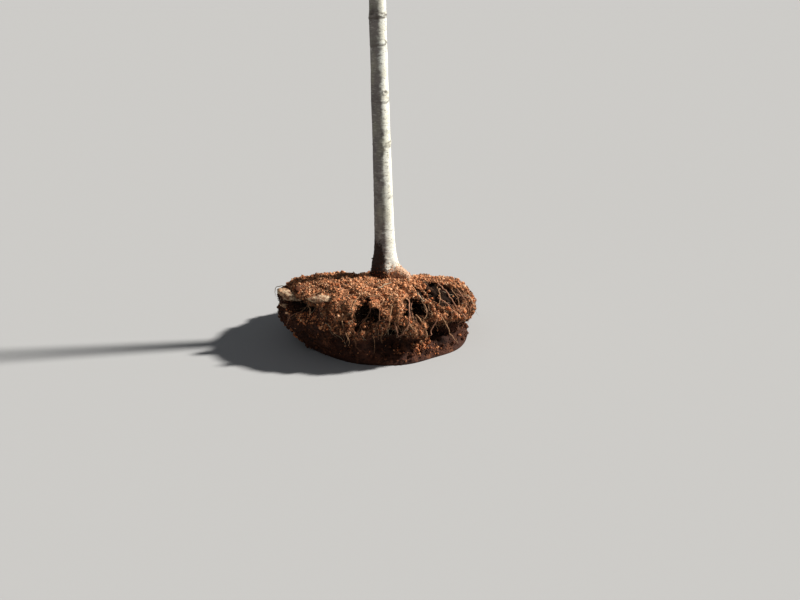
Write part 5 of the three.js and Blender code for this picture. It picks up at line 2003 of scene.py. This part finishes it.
def side_buds(lines, radii, count, length, rng):
    """Buds along each line, a golden angle apart."""
    share = (np.arange(count) + 0.6) / (count + 0.4) * (lines.shape[1] - 1.001)
    row = share.astype(int)
    part = (share - row)[:, None]
    place = lines[:, row] * (1 - part) + lines[:, row + 1] * part
    along = unit(lines[:, row + 1] - lines[:, row])
    side = square_to(along)
    turn = np.radians(GOLDEN_ANGLE) * np.arange(count) + rng.uniform(0, 6.283, (len(lines), 1))
    out = side * np.cos(turn)[..., None] + np.cross(along, side) * np.sin(turn)[..., None]
    heading = unit(along + 0.55 * out)
    start = place + out * (radii[:, row] * 0.7)[..., None]
    size = length * rng.uniform(0.75, 1.15, (len(lines), count)).ravel()
    return bud_stack(start.reshape(-1, 3), heading.reshape(-1, 3), size, size * 0.55)


def build_buds(look, scales):
    """Winter buds: one on each end, and smaller ones along."""
    rng = np.random.default_rng(151)
    grown = crown()
    kinds = ("shoots", "twigs", "spurs")
    shoots, twigs, spurs = (stacked(grown[kind], "line") for kind in kinds)
    shoot_radii, twig_radii, spur_radii = (stacked(grown[kind], "radii") for kind in kinds)
    limbs = [*grown["limbs"], *grown["uppers"], grown["leader"]]
    size = look.bud_length
    first = [
        end_buds(np.array([limb["line"][-2:] for limb in limbs]), size * 1.3, rng),
        end_buds(shoots, size * 1.15, rng),
        side_buds(shoots, shoot_radii, 7, size * 0.8, rng),
        end_buds(twigs, size, rng),
        side_buds(twigs, twig_radii, 3, size * 0.72, rng),
    ]
    second = [end_buds(spurs, size * 0.8, rng), side_buds(spurs, spur_radii, 1, size * 0.6, rng)]
    for name, buds, seed in (("twig_buds", join(first), 152), ("spur_buds", join(second), 153)):
        twig_piece(name, buds, len(buds[0]) // BUD_POINTS, scales, seed)


# The stage

FLOOR_SIZE = 900.0
KEY_BEARING = 9
KEY_RISE = 36
KEY_SPREAD = 5
FILL_BEARING = -120
FILL_RISE = 40
FILL_SPREAD = 40
FILL_SHARE = 0.024
KEY_COLOUR = (1.0, 0.965, 0.9)
FILL_COLOUR = (0.92, 0.96, 1.0)
SENSOR_WIDTH = 36.0


def sunlight(name, bearing, rise, strength, spread, colour):
    """A soft light from a bearing and a rise in degrees."""
    light = bpy.data.lights.new(name, "SUN")
    light.energy = strength
    light.angle = math.radians(spread)
    light.color = colour
    towards = Vector(heading_out(math.radians(bearing), math.radians(rise)))
    placed(name, light).rotation_euler = towards.to_track_quat("Z", "Y").to_euler()


def build_stage(look):
    """A plain pale floor, a soft light from the right and a weak one from the left, and the camera."""
    half = FLOOR_SIZE / 2
    corners = np.array([(-half, -half, 0), (half, -half, 0), (half, half, 0), (-half, half, 0)], float)
    mesh = bpy.data.meshes.new("floor")
    mesh.from_pydata(corners, [], [(0, 1, 2, 3)])
    floor = placed("floor", mesh)
    finish, tree = new_finish("Floor", 1.0, 0.0)
    shader = tree.nodes["Principled BSDF"]
    shader.inputs["Base Color"].default_value = rgba(look.floor)
    shader.inputs["IOR"].default_value = 1.0
    mesh.materials.append(finish)
    sunlight("key_light", KEY_BEARING, KEY_RISE, look.key, KEY_SPREAD, KEY_COLOUR)
    sunlight("fill_light", FILL_BEARING, FILL_RISE, look.key * FILL_SHARE, FILL_SPREAD, FILL_COLOUR)
    world = bpy.data.worlds.new("Surround")
    world.use_nodes = True
    tree = world.node_tree
    light, backdrop = tree.nodes["Background"], tree.nodes.new("ShaderNodeBackground")
    for shown, colour, strength in ((light, look.sky, look.fill), (backdrop, look.backdrop, 1.0)):
        shown.inputs["Color"].default_value = rgba(colour)
        shown.inputs["Strength"].default_value = strength
    seen = add(tree, "ShaderNodeLightPath").outputs["Is Camera Ray"]
    both = add(tree, "ShaderNodeMixShader", {0: seen, 1: light.outputs[0], 2: backdrop.outputs[0]})
    tree.links.new(both.outputs[0], tree.nodes["World Output"].inputs["Surface"])
    bpy.context.scene.world = world
    camera = bpy.data.cameras.new("camera")
    camera.sensor_width = SENSOR_WIDTH
    camera.lens = look.lens
    eye = placed("camera", camera)
    eye.location = (look.camera_right, -look.camera_back, look.camera_height)
    eye.rotation_euler = (math.pi / 2 - look.camera_dip, 0, 0)
    bpy.context.scene.camera = eye
    bpy.context.scene.view_settings.view_transform = "Standard"


# Operators, panel and registration


class SAPLING_OT_soil(Operator):
    """Body of the root ball"""

    bl_idname = "sapling.soil"
    bl_label = "Soil ball"

    def execute(self, context):
        build_core(context.scene.sapling_ball)
        return {"FINISHED"}


class SAPLING_OT_crumbs(Operator):
    """Crumbs and clods of soil"""

    bl_idname = "sapling.crumbs"
    bl_label = "Crumbs and clods"

    def execute(self, context):
        build_crumbs(context.scene.sapling_ball)
        build_foot_crumbs(context.scene.sapling_ball)
        return {"FINISHED"}


class SAPLING_OT_roots(Operator):
    """Matted, tufted and hanging roots, and the thick strands"""

    bl_idname = "sapling.roots"
    bl_label = "Roots"

    def execute(self, context):
        look = context.scene.sapling_ball
        finishes = root_finishes(look)
        build_fibres(look, finishes)
        build_tufts(look, finishes)
        build_hairs(look, finishes)
        build_roots(look, finishes)
        build_lone_roots(finishes)
        build_strands(finishes)
        return {"FINISHED"}


class SAPLING_OT_cut_roots(Operator):
    """Thick roots that were cut when the ball was dug"""

    bl_idname = "sapling.cut_roots"
    bl_label = "Cut roots"

    def execute(self, context):
        build_cut_roots(context.scene.sapling_ball)
        return {"FINISHED"}


class SAPLING_OT_trunk(Operator):
    """Bark of the trunk"""

    bl_idname = "sapling.trunk"
    bl_label = "Trunk"

    def execute(self, context):
        build_trunk(context.scene.sapling_trunk)
        return {"FINISHED"}


class SAPLING_OT_crown(Operator):
    """Boughs, stems, shoots, twigs and buds"""

    bl_idname = "sapling.crown"
    bl_label = "Crown"

    def execute(self, context):
        look = context.scene.sapling_crown
        bark = limb_finish(look, context.scene.sapling_trunk)
        young_bark = tone_finishes(look, TWIG_COLOURS, 0.6, 600.0, 0.0003)
        scales = tone_finishes(look, BUD_COLOURS, 0.5, 900.0, 0.0002)
        build_limbs(look, bark)
        build_stems(bark, young_bark)
        build_twigs(young_bark)
        build_buds(look, scales)
        return {"FINISHED"}


class SAPLING_OT_stage(Operator):
    """Floor, lights and camera"""

    bl_idname = "sapling.stage"
    bl_label = "Stage"

    def execute(self, context):
        build_stage(context.scene.sapling_stage)
        return {"FINISHED"}


OPERATORS = (
    SAPLING_OT_soil,
    SAPLING_OT_crumbs,
    SAPLING_OT_roots,
    SAPLING_OT_cut_roots,
    SAPLING_OT_trunk,
    SAPLING_OT_crown,
    SAPLING_OT_stage,
)


class SAPLING_PT_pieces(Panel):
    bl_idname = "SAPLING_PT_pieces"
    bl_label = "Sapling with root ball"
    bl_space_type = "VIEW_3D"
    bl_region_type = "UI"
    bl_category = "Sapling"

    def draw(self, context):
        for operator in OPERATORS:
            self.layout.operator(operator.bl_idname)


SETTINGS = {
    "sapling_ball": SaplingBall,
    "sapling_trunk": SaplingTrunk,
    "sapling_crown": SaplingCrown,
    "sapling_stage": SaplingStage,
}


def register():
    for kind in (*SETTINGS.values(), *OPERATORS, SAPLING_PT_pieces):
        bpy.utils.register_class(kind)
    for name, kind in SETTINGS.items():
        setattr(bpy.types.Scene, name, PointerProperty(type=kind))


def unregister():
    for name in SETTINGS:
        delattr(bpy.types.Scene, name)
    for kind in (SAPLING_PT_pieces, *OPERATORS[::-1], *list(SETTINGS.values())[::-1]):
        bpy.utils.unregister_class(kind)


def main():
    register()
    bpy.ops.sapling.soil()
    bpy.ops.sapling.crumbs()
    bpy.ops.sapling.roots()
    bpy.ops.sapling.cut_roots()
    bpy.ops.sapling.trunk()
    bpy.ops.sapling.crown()
    bpy.ops.sapling.stage()


if __name__ == "__main__":
    main()
